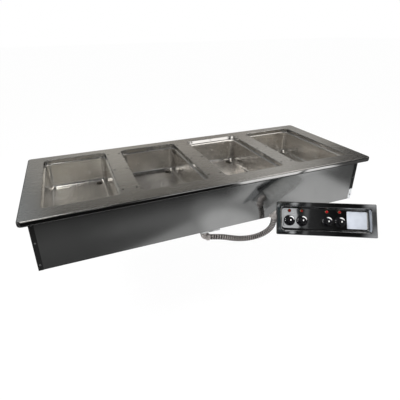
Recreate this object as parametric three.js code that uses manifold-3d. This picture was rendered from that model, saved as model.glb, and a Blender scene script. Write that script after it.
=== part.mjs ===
// A drop-in food well: four heated pans hung in one deck over an insulated case, with a control
// panel on a flexible metal conduit.
// Millimetres, +Z up, the front looks along -Y. The origin is the centre of the counter cut-out,
// in the plane of the counter's top, which the deck's turned edge rests on.
import * as THREE from "three";
import { mergeVertices } from "three/addons/utils/BufferGeometryUtils.js";
import Module from "manifold-3d";

const wasm = await Module();
wasm.setup();

// Wells and deck
const wellCount = 4;
const openingWidth = 305;
const openingDepth = 508;
const stripWidth = 85;
const openingCornerRadius = 20;
const openingTurnRadius = 3;
const openingTurnDown = 20;
const deckHeight = 22;
const deckSheet = 1.5;
const deckFrontMargin = 77.3;
const deckRearMargin = 55.7;
const deckEndMargin = 78.5;
const deckCornerRadius = 16;
const deckNoseRadius = 6;
const deckLip = 14;
const edgeBand = 12;
const gasketThickness = 3;
const gasketInset = 1;

// Pans
const panSheet = 1.2;
const panDepth = 150;
const panRim = 9;
const panShoulderInset = 7;
const panDraft = 5;
const panShoulderRadius = 6;
const panFloorRadius = 22;
const panCornerRadius = 34;

// Case
const caseHeight = 253.8;
const caseEndInset = 28.4;
const caseFrontInset = 44;
const caseRearInset = 28.4;
const caseSheet = 1.2;
const caseFlange = 12;
const caseLap = 19;
const bottomLip = 14;

// Rails that carry the pan rims, and the studs that hold them to the deck
const railDepth = 15;
const railSheet = 1.5;
const railGap = 4;
const studRadius = 2.5;
const studInset = 13.5;
const studEndInset = 39;
const studRows = 3;

// Elements and their reflector trays
const elementRadius = 4;
const elementRuns = 4;
const elementRunPitch = 44;
const elementTurnSteps = 5;
const elementEndInset = 30;
const elementTail = 18;
const traySideMargin = 26;
const trayEndInset = 39;
const trayDepth = 30;
const traySheet = 1;
const trayFlange = 8;
const trayCornerRadius = 12;
const trayDrainGap = 5.5;

// Drains
const drainFloorGap = 1;
const drainFlangeRadius = 17;
const drainFlangeHeight = 1.6;
const drainChamfer = 1.5;
const drainPipeRadius = 12.5;
const drainBoreRadius = 9.5;
const drainTail = 25;
const drainClearance = 0.6;
const strainerDepth = 3;
const strainerThickness = 2;
const strainerSlotWidth = 2.4;
const strainerSlotPitch = 5;
const strainerSlots = 3;
const drainNutRadius = 18;
const drainNutHeight = 8;

// Insulation
const wrapThickness = 20;
const wrapGap = 0.5;
const boardGap = 0.5;
const boardHoleGap = 3.5;

// Junction box over the case's bottom, and the shallow dish that covers it from below
const junctionX = -45;
const boxLength = 110;
const boxDepth = 80;
const boxHeightShare = 0.66;
const boxSheet = 1.2;
const boxFlange = 8;
const boxCornerRadius = 5;
const boxFrontGap = 1;
const notchGap = 2;
const accessRim = 18;
const coverSideGap = 3;
const coverDepth = 80;
const coverHeight = 8;
const coverSheet = 1.2;
const coverCornerRadius = 3;
const coverSlotLength = 20;
const coverSlotHeight = 4;

// Conduit and its elbow connectors
const conduitDiameter = 27;
const conduitBore = 20;
const conduitRibDepth = 1.4;
const conduitRibs = 60;
const conduitSides = 8;
const conduitRingsPerBoreRing = 10;
const elbowTubeRadius = 13;
const elbowThroat = 2;
const elbowHubRadius = 16.5;
const elbowHubStep = 4;
const elbowSeam = 1;
const elbowBarrelRadius = 16.5;
const elbowBarrelLength = 14;
const elbowBore = 19;
const elbowBendBore = 18;
const elbowEarWidth = 9;
const elbowEarHeight = 7;
const elbowEarGap = 2;
const elbowThreadRadius = 13.5;
const elbowThreadLength = 6.5;
const locknutWall = 3.5;
const locknutThickness = 3.5;
const locknutClearance = 0.4;
const caseElbowOffset = 28;
const caseElbowFromFront = 26.5;
const caseElbowHub = 22;
const caseElbowYaw = -20;
const caseElbowEarTurn = 90;
const panelElbowHub = 21;
const panelElbowTurn = 46.5;
const panelElbowEarTurn = 0;
const panelElbowHeight = 22;
const panelElbowFromFace = 27.5;

// Control panel
const panelX = 418;
const panelStandOff = 165.5;
const panelZ = -156;
const panelYaw = -26;
const panelTilt = 32;
const recessDepth = 26;
const recessRun = 4.5;
const recessCornerRadius = 13;
const bezelFlange = 22;
const bezelTurn = 8;
const bezelSheet = 1.2;
const bezelBendRadius = 3.5;
const bezelCornerRadius = 5;
const controlBoxDepth = 75;
const controlBoxEdgeGap = 2;
const controlBoxSheet = 1.2;
const controlBoxFlange = 5;
const controlBoxCornerRadius = 4;
const seatGap = 0.3;

// Controls on the panel
const controlPlacesShare = [0, 1, 3, 4];
const controlsFromLeft = 39.8;
const knobGap = 7;
const knobFromBottom = 41.5;
const lensAboveKnob = 44;
const lensFromTop = 17.5;
const knobRadius = 24;
const knobSkirtHeight = 6;
const knobGripRadius = 17.5;
const knobTopRadius = 15.5;
const knobHeight = 27;
const knobEdgeRadius = 2.5;
const knobWall = 2.5;
const knobLift = 1.2;
const knobHubRadius = 6;
const knobSocketDepth = 17;
const shaftRadius = 3;
const shaftClearance = 0.3;
const shaftReach = 20;
const shaftHoleClearance = 0.6;
const bushingRadius = 5;
const bushingLength = 2.2;
const switchWidth = 30;
const switchHeight = 42;
const switchDepth = 34;
const switchBevel = 1.5;
const switchSideGap = 7.5;
const lensRadius = 8;
const lensRimHeight = 2.2;
const lensDome = 3.5;
const lensBodyRadius = 5;
const lensHoleClearance = 0.5;
const lensBodyLength = 26;
const plateWidth = 86;
const plateThickness = 0.8;
const plateCornerRadius = 3;
const plateEdgeGap = 13;
const plateFromRight = 11;
const plateFromKnob = 31.2;

// How finely round shapes are cut, and how far a cutting tool passes the faces that it cuts
const cornerSteps = 3;
const plainCornerSteps = 1;
const bendSteps = 3;
const smallBendSteps = 2;
const roundSegments = 14;
const smallSegments = 10;
const rodSegments = 6;
const overrun = 3;
const leastRadius = 1;
const leastEdge = 0.02;
const filletLimitShare = 0.49;

// The conduit's route from the case elbow to the panel elbow
const conduitRoute = [
  [-45.4, -260, -277.1],
  [-32.8, -264.6, -277.1],
  [-20.1, -269.3, -277.1],
  [-7, -273.6, -277.8],
  [8, -277.4, -279.7],
  [25, -279.9, -283.9],
  [43, -280.5, -290.8],
  [60, -279, -298.4],
  [76, -276.7, -305.9],
  [93, -274, -313.4],
  [111, -271.5, -320.6],
  [128.5, -269.9, -326.2],
  [146.5, -269.7, -329.9],
  [165, -271.6, -331.2],
  [183, -275.2, -329.6],
  [200, -280.2, -325.3],
  [216, -286.5, -318],
  [230, -293.5, -308.1],
  [241.5, -300.6, -296],
  [250.5, -307.8, -281.6],
  [256.8, -314.6, -265.3],
  [259.4, -320.6, -248.4],
  [259.7, -324.8, -232.6],
  [258.3, -327.6, -221],
  [256.8, -330.6, -207.9],
  [255.3, -333.6, -194.9],
];

const halfTurn = Math.PI;
const quarterTurn = Math.PI / 2;
const fullTurn = Math.PI * 2;

const wellPitch = openingWidth + stripWidth;
const deckLength = wellPitch * wellCount - stripWidth + deckEndMargin * 2;
const deckDepth = deckFrontMargin + openingDepth + deckRearMargin;
const openingY = -deckDepth / 2 + deckFrontMargin + openingDepth / 2;
const rimTop = deckHeight - openingTurnDown;
const railTop = rimTop - panSheet;
const deckUnderside = deckHeight - deckSheet;
const floorZ = deckHeight - panDepth;
const floorUnderside = floorZ - panSheet;
const caseHalfLength = deckLength / 2 - caseEndInset;
const caseFront = -deckDepth / 2 + caseFrontInset;
const caseRear = deckDepth / 2 - caseRearInset;
const caseBottom = deckHeight - caseHeight;
const frontOuter = caseFront + caseSheet;
const rearOuter = caseRear - caseSheet;
const frontInner = frontOuter + caseSheet;
const rearInner = rearOuter - caseSheet;
const caseInnerLength = caseHalfLength * 2 - caseSheet * 2;
const bottomTop = caseBottom + caseSheet * 2;
const wellCentres = Array.from(
  { length: wellCount },
  (_, index) => (index - (wellCount - 1) / 2) * wellPitch,
);
const drainInset = panShoulderInset + panDraft + panFloorRadius + drainFlangeRadius + drainFloorGap;
const trayBottom = floorUnderside - trayDepth;
const trayWidth = (elementRuns - 1) * elementRunPitch + traySideMargin * 2;
const trayLength = openingDepth - trayEndInset * 2;
const trayRight = openingWidth / 2 - drainInset - drainNutRadius - trayDrainGap - trayFlange;
const trayOffset = trayWidth / 2 - trayRight;
const elementRunLength = trayLength - elementEndInset * 2;
const boardTop = trayBottom - boardGap;
const lipInner = frontInner + wrapGap + caseSheet;
const boxY = lipInner + boxFrontGap + boxDepth / 2;
const boxTop = bottomTop + (boardTop - bottomTop) * boxHeightShare;
const coverY = frontOuter + coverDepth / 2;
const coverBottom = caseBottom - coverHeight;
const locknutRadius = elbowThreadRadius + locknutWall;
const coverLength = (caseElbowOffset + locknutRadius + coverSideGap) * 2;
const elbowBendRadius = elbowTubeRadius + elbowThroat;
const caseElbowX = junctionX - caseElbowOffset;
const caseElbowY = caseFront + caseElbowFromFront;
const floorFront = -recessDepth;
const floorBack = -recessDepth - bezelSheet;
const boxFace = floorBack - seatGap;
const controlPitch = knobRadius * 2 + knobGap;
const controlsSpan = controlPlacesShare.at(-1) * controlPitch;
const recessWidth = controlsFromLeft + controlsSpan + plateFromKnob + plateWidth + plateFromRight;
const recessHeight = knobFromBottom + lensAboveKnob + lensFromTop;
const knobY = knobFromBottom - recessHeight / 2;
const lensY = knobY + lensAboveKnob;
const firstControlX = controlsFromLeft - recessWidth / 2;
const controlXs = controlPlacesShare.map((share) => firstControlX + share * controlPitch);
const controlBoxWidth = (switchWidth / 2 + switchSideGap - firstControlX) * 2;
const controlBoxHeight = recessHeight - (recessRun + controlBoxEdgeGap) * 2;
const panelElbowZ = boxFace - panelElbowFromFace;
const plateX = recessWidth / 2 - plateFromRight - plateWidth / 2;
const plateHeight = recessHeight - plateEdgeGap * 2;

const steel = finish(0xb9bab8, 0.34, 1);
const deckSteel = finish(0xa9aaa8, 0.36, 1);
const panSteel = finish(0xa6a8a8, 0.22, 1);
const galvanised = finish(0x9ea3a5, 0.5, 0.9);
const polished = finish(0x3c3d3e, 0.12, 1);
const castZinc = finish(0xb4b5b2, 0.42, 0.9);
const brass = finish(0xb98f4a, 0.35, 1);
const sheathed = finish(0x4a443f, 0.5, 0.8);
const glassWool = finish(0xd8c778, 0.95, 0);
const blackRubber = finish(0x1c1c1c, 0.8, 0);
const blackPhenolic = finish(0x101010, 0.35, 0);
const redLens = finish(0x9c1418, 0.15, 0);
const platePaint = finish(0xdfe3ee, 0.4, 0);

const part = new THREE.Group();

function finish(color, roughness, metalness) {
  return new THREE.MeshStandardMaterial({ color, roughness, metalness });
}

function add(parent, name, geometry, material) {
  const mesh = new THREE.Mesh(geometry, material);
  mesh.name = name;
  parent.add(mesh);
  return mesh;
}

function at(x, y) {
  return new THREE.Vector2(x, y);
}

function degrees(angle) {
  return THREE.MathUtils.degToRad(angle);
}

// Solids from point rings

// A rounded rectangle, counterclockwise, with the same number of points whatever its size.
function roundedRing({ width, depth, x = 0, y = 0, steps = cornerSteps }, radius) {
  const sides = [at(1, 1), at(-1, 1), at(-1, -1), at(1, -1)];
  return sides.flatMap((side, corner) =>
    Array.from({ length: steps + 1 }, (_, step) => {
      const angle = (corner + step / steps) * quarterTurn;
      const centre = at(x + side.x * (width / 2 - radius), y + side.y * (depth / 2 - radius));
      return centre.add(at(radius * Math.cos(angle), radius * Math.sin(angle)));
    }),
  );
}

function circleRing(radius, centreX, centreY, segments) {
  return Array.from({ length: segments }, (_, index) => {
    const angle = (index / segments) * fullTurn;
    return at(centreX + radius * Math.cos(angle), centreY + radius * Math.sin(angle));
  });
}

function lifted(ring, z) {
  return ring.map((point) => new THREE.Vector3(point.x, point.y, z));
}

// The arc that rounds one corner of a line, limited to under half of the shorter side.
function cornerArc(before, corner, after, radius, steps = bendSteps) {
  const toBefore = before.clone().sub(corner);
  const toAfter = after.clone().sub(corner);
  const half = toBefore.angleTo(toAfter) / 2;
  const limit = Math.min(toBefore.length(), toAfter.length()) * filletLimitShare;
  const reach = Math.min(radius / Math.tan(half), limit);
  const arcRadius = reach * Math.tan(half);
  const middle = toBefore.clone().normalize().add(toAfter.clone().normalize()).normalize();
  const centre = corner.clone().addScaledVector(middle, arcRadius / Math.sin(half));
  const start = corner.clone().addScaledVector(toBefore.normalize(), reach).sub(centre);
  const side = Math.sign(toAfter.cross(toBefore));
  const sweep = side * (halfTurn - half * 2);
  return Array.from({ length: steps + 1 }, (_, step) =>
    start.clone().rotateAround(at(0, 0), (sweep * step) / steps).add(centre),
  );
}

// A sheet's cross-section as a line of places with its bends rounded.
function bentLine(corners, radius, steps = bendSteps) {
  const inner = corners.slice(1, -1);
  const bends = inner.flatMap((corner, index) =>
    cornerArc(corners[index], corner, corners[index + 2], radius, steps),
  );
  return [corners[0], ...bends, corners.at(-1)];
}

// The line's parallel, one thickness to its right, mitred at each corner.
function parallel(line, thickness) {
  const normals = line.slice(1).map((point, index) => {
    const step = point.clone().sub(line[index]).normalize();
    return at(step.y, -step.x);
  });
  return line.map((point, index) => {
    const before = normals[Math.max(index - 1, 0)];
    const after = normals[Math.min(index, normals.length - 1)];
    const shift = before.clone().add(after).multiplyScalar(thickness / (1 + before.dot(after)));
    return point.clone().add(shift);
  });
}

// Both faces of a sheet, out along the first and back along the second.
function sheetStations(line, thickness) {
  return [...line, ...parallel(line, thickness).reverse()];
}

// Rings around a rounded rectangle, one for each station: x is how far the ring stands outside
// the rectangle, y is its height.
function stationRings(stations, outline, radiusAt) {
  return stations.map(({ x: outside, y: z }) => {
    const width = outline.width + outside * 2;
    const depth = outline.depth + outside * 2;
    return lifted(roundedRing({ ...outline, width, depth }, Math.max(radiusAt(outside), leastRadius)), z);
  });
}

// A closed solid between two flat faces. Each chain of rings runs from the upper face's edge to
// the lower face's; the outer chain runs counterclockwise, and a hole's rings are turned round.
function pressedSolid(outerRings, holeChains = []) {
  const chains = [outerRings, ...holeChains.map((rings) => rings.map((ring) => [...ring].reverse()))];
  const positions = [];
  const triangles = [];
  const firstIndices = chains.map((rings) =>
    rings.map((ring) => {
      const first = positions.length / 3;
      positions.push(...ring.flatMap((point) => point.toArray()));
      return first;
    }),
  );
  chains.forEach((rings, chain) => {
    for (let index = 0; index + 1 < rings.length; index += 1) {
      addBand(triangles, firstIndices[chain][index], firstIndices[chain][index + 1], rings[index].length);
    }
  });
  addFace(triangles, chains.map((rings) => rings[0]), firstIndices.map((list) => list[0]), false);
  addFace(triangles, chains.map((rings) => rings.at(-1)), firstIndices.map((list) => list.at(-1)), true);
  const geometry = new THREE.BufferGeometry();
  geometry.setAttribute("position", new THREE.Float32BufferAttribute(positions, 3));
  geometry.setIndex(triangles);
  return geometry;
}

function addBand(triangles, upper, lower, count) {
  for (let index = 0; index < count; index += 1) {
    const next = (index + 1) % count;
    triangles.push(upper + index, lower + index, lower + next);
    triangles.push(upper + index, lower + next, upper + next);
  }
}

function addFace(triangles, rings, firsts, facingDown) {
  const flat = rings.map((ring) => ring.map((point) => at(point.x, point.y)));
  const indices = rings.flatMap((ring, chain) => ring.map((_, index) => firsts[chain] + index));
  THREE.ShapeUtils.triangulateShape(flat[0], flat.slice(1)).forEach(([a, b, c]) => {
    const face = facingDown ? [a, c, b] : [a, b, c];
    triangles.push(...face.map((corner) => indices[corner]));
  });
}

// Solids from outlines

function shapeOf(points, holes = []) {
  const shape = new THREE.Shape(points);
  shape.holes = holes.map((hole) => new THREE.Path(hole));
  return shape;
}

function extruded(shape, length) {
  return new THREE.ExtrudeGeometry(shape, { depth: length, bevelEnabled: false });
}

function upright(shape, bottom, top) {
  return extruded(shape, top - bottom).translate(0, 0, bottom);
}

// An outline in Y and Z, drawn out along X and centred there.
function alongX(shape, length) {
  const turn = new THREE.Matrix4().makeBasis(
    new THREE.Vector3(0, 1, 0),
    new THREE.Vector3(0, 0, 1),
    new THREE.Vector3(1, 0, 0),
  );
  return extruded(shape, length).translate(0, 0, -length / 2).applyMatrix4(turn);
}

// An outline in X and Z, drawn out along Y between two places.
function alongY(shape, front, rear) {
  const turn = new THREE.Matrix4().makeBasis(
    new THREE.Vector3(1, 0, 0),
    new THREE.Vector3(0, 0, 1),
    new THREE.Vector3(0, -1, 0),
  );
  return extruded(shape, rear - front).applyMatrix4(turn).translate(0, rear, 0);
}

function foldedShape(corners, thickness) {
  return shapeOf(sheetStations(corners, thickness));
}

function rectangle(left, right, low, high) {
  return [at(left, low), at(right, low), at(right, high), at(left, high)];
}

// A revolved solid that stands along Z. The outline gives radius and height.
function revolved(outline, segments = roundSegments) {
  return new THREE.LatheGeometry(outline, segments).rotateX(quarterTurn);
}

function rod(radius, bottom, top, segments = roundSegments) {
  const outline = [at(0, bottom), at(radius, bottom), at(radius, top), at(0, top)];
  return revolved(outline, segments);
}

// Joins and cuts

function toSolid(geometry) {
  const plain = geometry.clone();
  plain.deleteAttribute("normal");
  plain.deleteAttribute("uv");
  const merged = mergeVertices(plain);
  const index = merged.index.array;
  const triangles = [];
  for (let first = 0; first < index.length; first += 3) {
    const [a, b, c] = index.slice(first, first + 3);
    if (a !== b && b !== c && c !== a) triangles.push(a, b, c);
  }
  const mesh = new wasm.Mesh({
    numProp: 3,
    vertProperties: new Float32Array(merged.attributes.position.array),
    triVerts: new Uint32Array(triangles),
  });
  return new wasm.Manifold(mesh);
}

// Edges too short to matter, which joins and cuts leave behind, are merged away.
function fromSolid(solid) {
  const mesh = solid.simplify(leastEdge).getMesh();
  const geometry = new THREE.BufferGeometry();
  geometry.setAttribute("position", new THREE.BufferAttribute(new Float32Array(mesh.vertProperties), 3));
  geometry.setIndex([...mesh.triVerts]);
  return geometry;
}

function joined(first, ...others) {
  return fromSolid(others.reduce((solid, other) => solid.add(toSolid(other)), toSolid(first)));
}

function cut(first, ...tools) {
  return fromSolid(tools.reduce((solid, tool) => solid.subtract(toSolid(tool)), toSolid(first)));
}

// Deck

// The deck's edge rounds over, runs down and turns in under itself onto the gasket.
function deckEdge() {
  const corners = [
    at(-edgeBand, deckHeight),
    at(0, deckHeight),
    at(0, gasketThickness),
    at(-deckLip, gasketThickness),
  ];
  const noseArc = cornerArc(corners[0], corners[1], corners[2], deckNoseRadius);
  return [corners[0], ...noseArc, ...corners.slice(2)];
}

// Each opening's edge rounds over and runs down to the pan's rim. x grows away from the opening.
function openingEdge() {
  const corners = [at(edgeBand, deckHeight), at(0, deckHeight), at(0, rimTop)];
  return bentLine(corners, openingTurnRadius, smallBendSteps);
}

function openingAt(wellX) {
  return { width: openingWidth, depth: openingDepth, x: wellX, y: openingY };
}

function topDeck() {
  const edge = sheetStations(deckEdge(), deckSheet);
  const plan = { width: deckLength, depth: deckDepth };
  const outer = stationRings(edge, plan, (outside) => deckCornerRadius + outside);
  const turned = sheetStations(openingEdge(), -deckSheet);
  const radiusAt = (outside) => openingCornerRadius + outside;
  const holes = wellCentres.map((x) => stationRings(turned, openingAt(x), radiusAt));
  return pressedSolid(outer, holes);
}

function deckGasket() {
  const outside = gasketInset * 2;
  const inside = deckLip * 2;
  const plan = { width: deckLength - outside, depth: deckDepth - outside };
  const bore = { width: deckLength - inside, depth: deckDepth - inside };
  const hole = roundedRing(bore, deckCornerRadius);
  return upright(shapeOf(roundedRing(plan, deckCornerRadius), [hole]), 0, gasketThickness);
}

// Pans

function drainPlace(wellX) {
  return at(wellX + openingWidth / 2 - drainInset, openingY + openingDepth / 2 - drainInset);
}

// From the floor up the wall to the rim, whose underside rests on the rails.
function panLine() {
  const wallFoot = -panShoulderInset - panDraft;
  const corners = [
    at(wallFoot - panFloorRadius * 2, floorZ),
    at(wallFoot, floorZ),
    at(-panShoulderInset, rimTop),
    at(panRim, rimTop),
  ];
  const floorBend = cornerArc(corners[0], corners[1], corners[2], panFloorRadius);
  const shoulder = cornerArc(corners[1], corners[2], corners[3], panShoulderRadius, smallBendSteps);
  return [...floorBend, ...shoulder, corners[3]];
}

function wellPan(wellX) {
  const stations = sheetStations(panLine(), panSheet);
  const radiusAt = (outside) => panCornerRadius + outside;
  const outer = stationRings(stations, openingAt(wellX), radiusAt);
  const drain = drainPlace(wellX);
  const hole = circleRing(drainPipeRadius + drainClearance, drain.x, drain.y, roundSegments);
  return pressedSolid(outer, [[lifted(hole, floorZ), lifted(hole, floorUnderside)]]);
}

// Case

// The front and rear sheets turn in at the top, under the deck, and at the bottom.
function foldedWall(outerY, inward) {
  const corners = [
    at(outerY + inward * caseFlange, deckUnderside),
    at(outerY, deckUnderside),
    at(outerY, caseBottom),
    at(outerY + inward * caseFlange, caseBottom),
  ];
  return alongX(foldedShape(corners, -inward * caseSheet), caseInnerLength);
}

// Each end sheet laps round the front and rear sheets with a flange.
function endPanel(side) {
  const outerX = side * caseHalfLength;
  const lapX = side * (caseHalfLength - caseLap);
  const corners = [at(lapX, caseFront), at(outerX, caseFront), at(outerX, caseRear), at(lapX, caseRear)];
  return upright(foldedShape(corners, -side * caseSheet), caseBottom, deckUnderside);
}

// The bottom sheet lies on the walls' turned-in flanges, with its own edges turned up. It is open
// under the junction box and round the drains.
function bottomPanel() {
  const corners = [
    at(-bottomLip, bottomTop),
    at(-caseSheet, bottomTop),
    at(-caseSheet, bottomTop + bottomLip),
  ];
  const stations = sheetStations(corners, caseSheet);
  const width = caseInnerLength - wrapGap * 2;
  const depth = rearInner - frontInner - wrapGap * 2;
  const plan = { width, depth, y: (rearInner + frontInner) / 2, steps: plainCornerSteps };
  const drains = wellCentres.map((x) => {
    const drain = drainPlace(x);
    return circleRing(drainPipeRadius + drainClearance, drain.x, drain.y, roundSegments);
  });
  const access = {
    width: boxLength - accessRim * 2,
    depth: boxDepth - accessRim * 2,
    x: junctionX,
    y: boxY,
    steps: plainCornerSteps,
  };
  const openings = [...drains, roundedRing(access, boxCornerRadius)];
  const holes = openings.map((ring) => [lifted(ring, bottomTop), lifted(ring, bottomTop - caseSheet)]);
  return pressedSolid(stationRings(stations, plan, () => leastRadius), holes);
}

// Rails

function rail(centreX, width, studXs) {
  const half = width / 2;
  const corners = [
    at(centreX - half, railTop - railDepth),
    at(centreX - half, railTop),
    at(centreX + half, railTop),
    at(centreX + half, railTop - railDepth),
  ];
  const channel = alongY(foldedShape(corners, railSheet), frontInner, rearInner);
  const studs = studXs.flatMap((x) =>
    Array.from({ length: studRows }, (_, row) => {
      const y = openingY + (row / (studRows - 1) - 1 / 2) * (openingDepth - studEndInset * 2);
      return rod(studRadius, railTop - railSheet / 2, deckUnderside, rodSegments).translate(x, y, 0);
    }),
  );
  return joined(channel, ...studs);
}

function addRails() {
  const width = stripWidth - railGap * 2;
  const outerEdge = wellCentres.at(-1) + openingWidth / 2;
  const endInner = outerEdge + railGap;
  const endOuter = caseHalfLength - caseSheet;
  const endWidth = endOuter - endInner;
  const endCentre = (endOuter + endInner) / 2;
  const endStud = outerEdge + studInset;
  add(part, "support_rail_1", rail(-endCentre, endWidth, [-endStud]), galvanised);
  wellCentres.slice(1).forEach((x, index) => {
    const centre = x - wellPitch / 2;
    const studReach = stripWidth / 2 - studInset;
    const studXs = [centre - studReach, centre + studReach];
    add(part, `support_rail_${index + 2}`, rail(centre, width, studXs), galvanised);
  });
  add(part, `support_rail_${wellCount + 1}`, rail(endCentre, endWidth, [endStud]), galvanised);
}

// Elements

// Straight runs joined by half circles, with a tail turned down at each end. The parameter gives
// a run one step and a half circle several.
class Serpentine extends THREE.Curve {
  constructor(runs, length, pitch) {
    super();
    Object.assign(this, { runs, length, pitch });
    this.steps = runs + (runs - 1) * elementTurnSteps;
  }

  getPoint(t) {
    const unit = 1 + elementTurnSteps;
    const along = t * this.steps;
    const run = Math.min(Math.floor(along / unit), this.runs - 1);
    const local = along - run * unit;
    const side = run % 2 === 0 ? 1 : -1;
    const x = (run - (this.runs - 1) / 2) * this.pitch;
    if (local <= 1) return new THREE.Vector3(x, side * (local - 1 / 2) * this.length, 0);
    const angle = ((local - 1) / elementTurnSteps) * halfTurn;
    const radius = this.pitch / 2;
    return new THREE.Vector3(
      x + radius - radius * Math.cos(angle),
      side * (this.length / 2 + radius * Math.sin(angle)),
      0,
    );
  }

  getPointAt(t) {
    return this.getPoint(t);
  }

  getTangentAt(t) {
    return this.getTangent(t);
  }
}

function heatingElement(wellX) {
  const route = new Serpentine(elementRuns, elementRunLength, elementRunPitch);
  const section = shapeOf(circleRing(elementRadius, 0, 0, rodSegments));
  const options = { steps: route.steps, extrudePath: route, bevelEnabled: false };
  const tube = new THREE.ExtrudeGeometry(section, options);
  const endX = ((elementRuns - 1) / 2) * elementRunPitch;
  const endY = -elementRunLength / 2;
  const tails = [-endX, endX].map((x) =>
    rod(elementRadius, -elementTail, 0, rodSegments).translate(x, endY + elementRadius, 0),
  );
  const z = floorUnderside - seatGap - elementRadius;
  return joined(tube, ...tails).translate(wellX - trayOffset, openingY, z);
}

// The reflector tray's flange lies against the pan's floor, with the element inside.
function elementTray(wellX) {
  const trayInner = trayBottom + traySheet;
  const corners = [
    at(-trayFlange, trayInner),
    at(0, trayInner),
    at(0, floorUnderside),
    at(trayFlange, floorUnderside),
  ];
  const stations = sheetStations(corners, traySheet);
  const plan = { width: trayWidth, depth: trayLength, x: wellX - trayOffset, y: openingY };
  const radiusAt = (outside) => trayCornerRadius + outside;
  return pressedSolid(stationRings(stations, { ...plan, steps: plainCornerSteps }, radiusAt));
}

// Drains

// A flanged pipe with a slotted strainer just below its mouth.
function drainBody(wellX) {
  const flangeTop = floorZ + drainFlangeHeight;
  const strainerTop = floorZ - strainerDepth;
  const strainerUnder = strainerTop - strainerThickness;
  const outline = [
    at(0, strainerUnder),
    at(drainBoreRadius, strainerUnder),
    at(drainBoreRadius, caseBottom - drainTail),
    at(drainPipeRadius, caseBottom - drainTail),
    at(drainPipeRadius, floorZ),
    at(drainFlangeRadius, floorZ),
    at(drainFlangeRadius - drainChamfer, flangeTop),
    at(drainBoreRadius + drainChamfer, flangeTop),
    at(drainBoreRadius, flangeTop - drainChamfer),
    at(drainBoreRadius, strainerTop),
    at(0, strainerTop),
  ];
  const slots = Array.from({ length: strainerSlots }, (_, index) => {
    const x = (index - (strainerSlots - 1) / 2) * strainerSlotPitch;
    const reach = Math.sqrt(drainBoreRadius ** 2 - x ** 2) - drainChamfer;
    const slot = shapeOf(rectangle(x - strainerSlotWidth / 2, x + strainerSlotWidth / 2, -reach, reach));
    return upright(slot, strainerUnder - overrun, strainerTop + overrun);
  });
  const place = drainPlace(wellX);
  return cut(revolved(outline), ...slots).translate(place.x, place.y, 0);
}

function drainNut(wellX) {
  const place = drainPlace(wellX);
  const hexagon = circleRing(drainNutRadius, place.x, place.y, rodSegments);
  const hole = circleRing(drainPipeRadius + drainClearance, place.x, place.y, roundSegments);
  return upright(shapeOf(hexagon, [hole]), floorUnderside - drainNutHeight, floorUnderside);
}

// Insulation

function insulationWrap() {
  const left = -caseInnerLength / 2 + wrapGap;
  const front = frontInner + wrapGap;
  const rear = rearInner - wrapGap;
  const outline = rectangle(left, -left, front, rear);
  const inner = left + wrapThickness;
  const hole = rectangle(inner, -inner, front + wrapThickness, rear - wrapThickness);
  return upright(shapeOf(outline, [hole]), boardTop + boardGap, railTop - railDepth - boardGap);
}

// The bottom board is notched round the junction box and drilled for the drains.
function bottomInsulation() {
  const margin = caseSheet + wrapGap * 2;
  const right = caseInnerLength / 2 - margin;
  const front = frontInner + margin;
  const rear = rearInner - margin;
  const notchHalf = boxLength / 2 + notchGap;
  const notchRear = boxY + boxDepth / 2 + notchGap;
  const outline = [
    at(-right, front),
    at(junctionX - notchHalf, front),
    at(junctionX - notchHalf, notchRear),
    at(junctionX + notchHalf, notchRear),
    at(junctionX + notchHalf, front),
    at(right, front),
    at(right, rear),
    at(-right, rear),
  ];
  const holes = wellCentres.map((x) => {
    const drain = drainPlace(x);
    return circleRing(drainPipeRadius + boardHoleGap, drain.x, drain.y, smallSegments);
  });
  return upright(shapeOf(outline, holes), bottomTop, boardTop);
}

// Junction box

// An upturned tray whose flange stands on the case's bottom sheet.
function junctionBox() {
  const corners = [
    at(-boxFlange * 2, boxTop),
    at(-boxFlange, boxTop),
    at(-boxFlange, bottomTop + boxSheet),
    at(0, bottomTop + boxSheet),
  ];
  const stations = sheetStations(corners, boxSheet);
  const plan = { width: boxLength, depth: boxDepth, x: junctionX, y: boxY, steps: plainCornerSteps };
  return pressedSolid(stationRings(stations, plan, () => boxCornerRadius));
}

// A dish against the case's underside, flush with its front, with a slot there and the elbow's hole.
function junctionBoxCover() {
  const floorTop = coverBottom + coverSheet;
  const corners = [
    at(-coverCornerRadius, floorTop),
    at(-coverSheet, floorTop),
    at(-coverSheet, caseBottom),
  ];
  const stations = sheetStations(corners, coverSheet);
  const plan = { width: coverLength, depth: coverDepth, x: junctionX, y: coverY, steps: plainCornerSteps };
  const ring = circleRing(elbowThreadRadius + locknutClearance, caseElbowX, caseElbowY, roundSegments);
  const hole = [lifted(ring, floorTop), lifted(ring, coverBottom)];
  const dish = pressedSolid(stationRings(stations, plan, () => coverCornerRadius), [hole]);
  const slotHalf = coverSlotLength / 2;
  const slotLow = coverBottom + (coverHeight - coverSlotHeight) / 2;
  const slotHigh = slotLow + coverSlotHeight;
  const slot = rectangle(junctionX - slotHalf, junctionX + slotHalf, slotLow, slotHigh);
  return cut(dish, alongY(shapeOf(slot), frontOuter - overrun, frontOuter + overrun));
}

// Elbow connectors

class Bend extends THREE.Curve {
  constructor(radius) {
    super();
    this.radius = radius;
  }

  // A quarter circle that leaves the hub upwards and ends along +X.
  getPoint(t) {
    const angle = t * quarterTurn;
    return new THREE.Vector3(this.radius * (1 - Math.cos(angle)), 0, this.radius * Math.sin(angle));
  }
}

function bendTube(radius) {
  const section = shapeOf(circleRing(radius, 0, 0, roundSegments));
  const route = new Bend(elbowBendRadius);
  return new THREE.ExtrudeGeometry(section, { steps: bendSteps, extrudePath: route, bevelEnabled: false });
}

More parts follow.
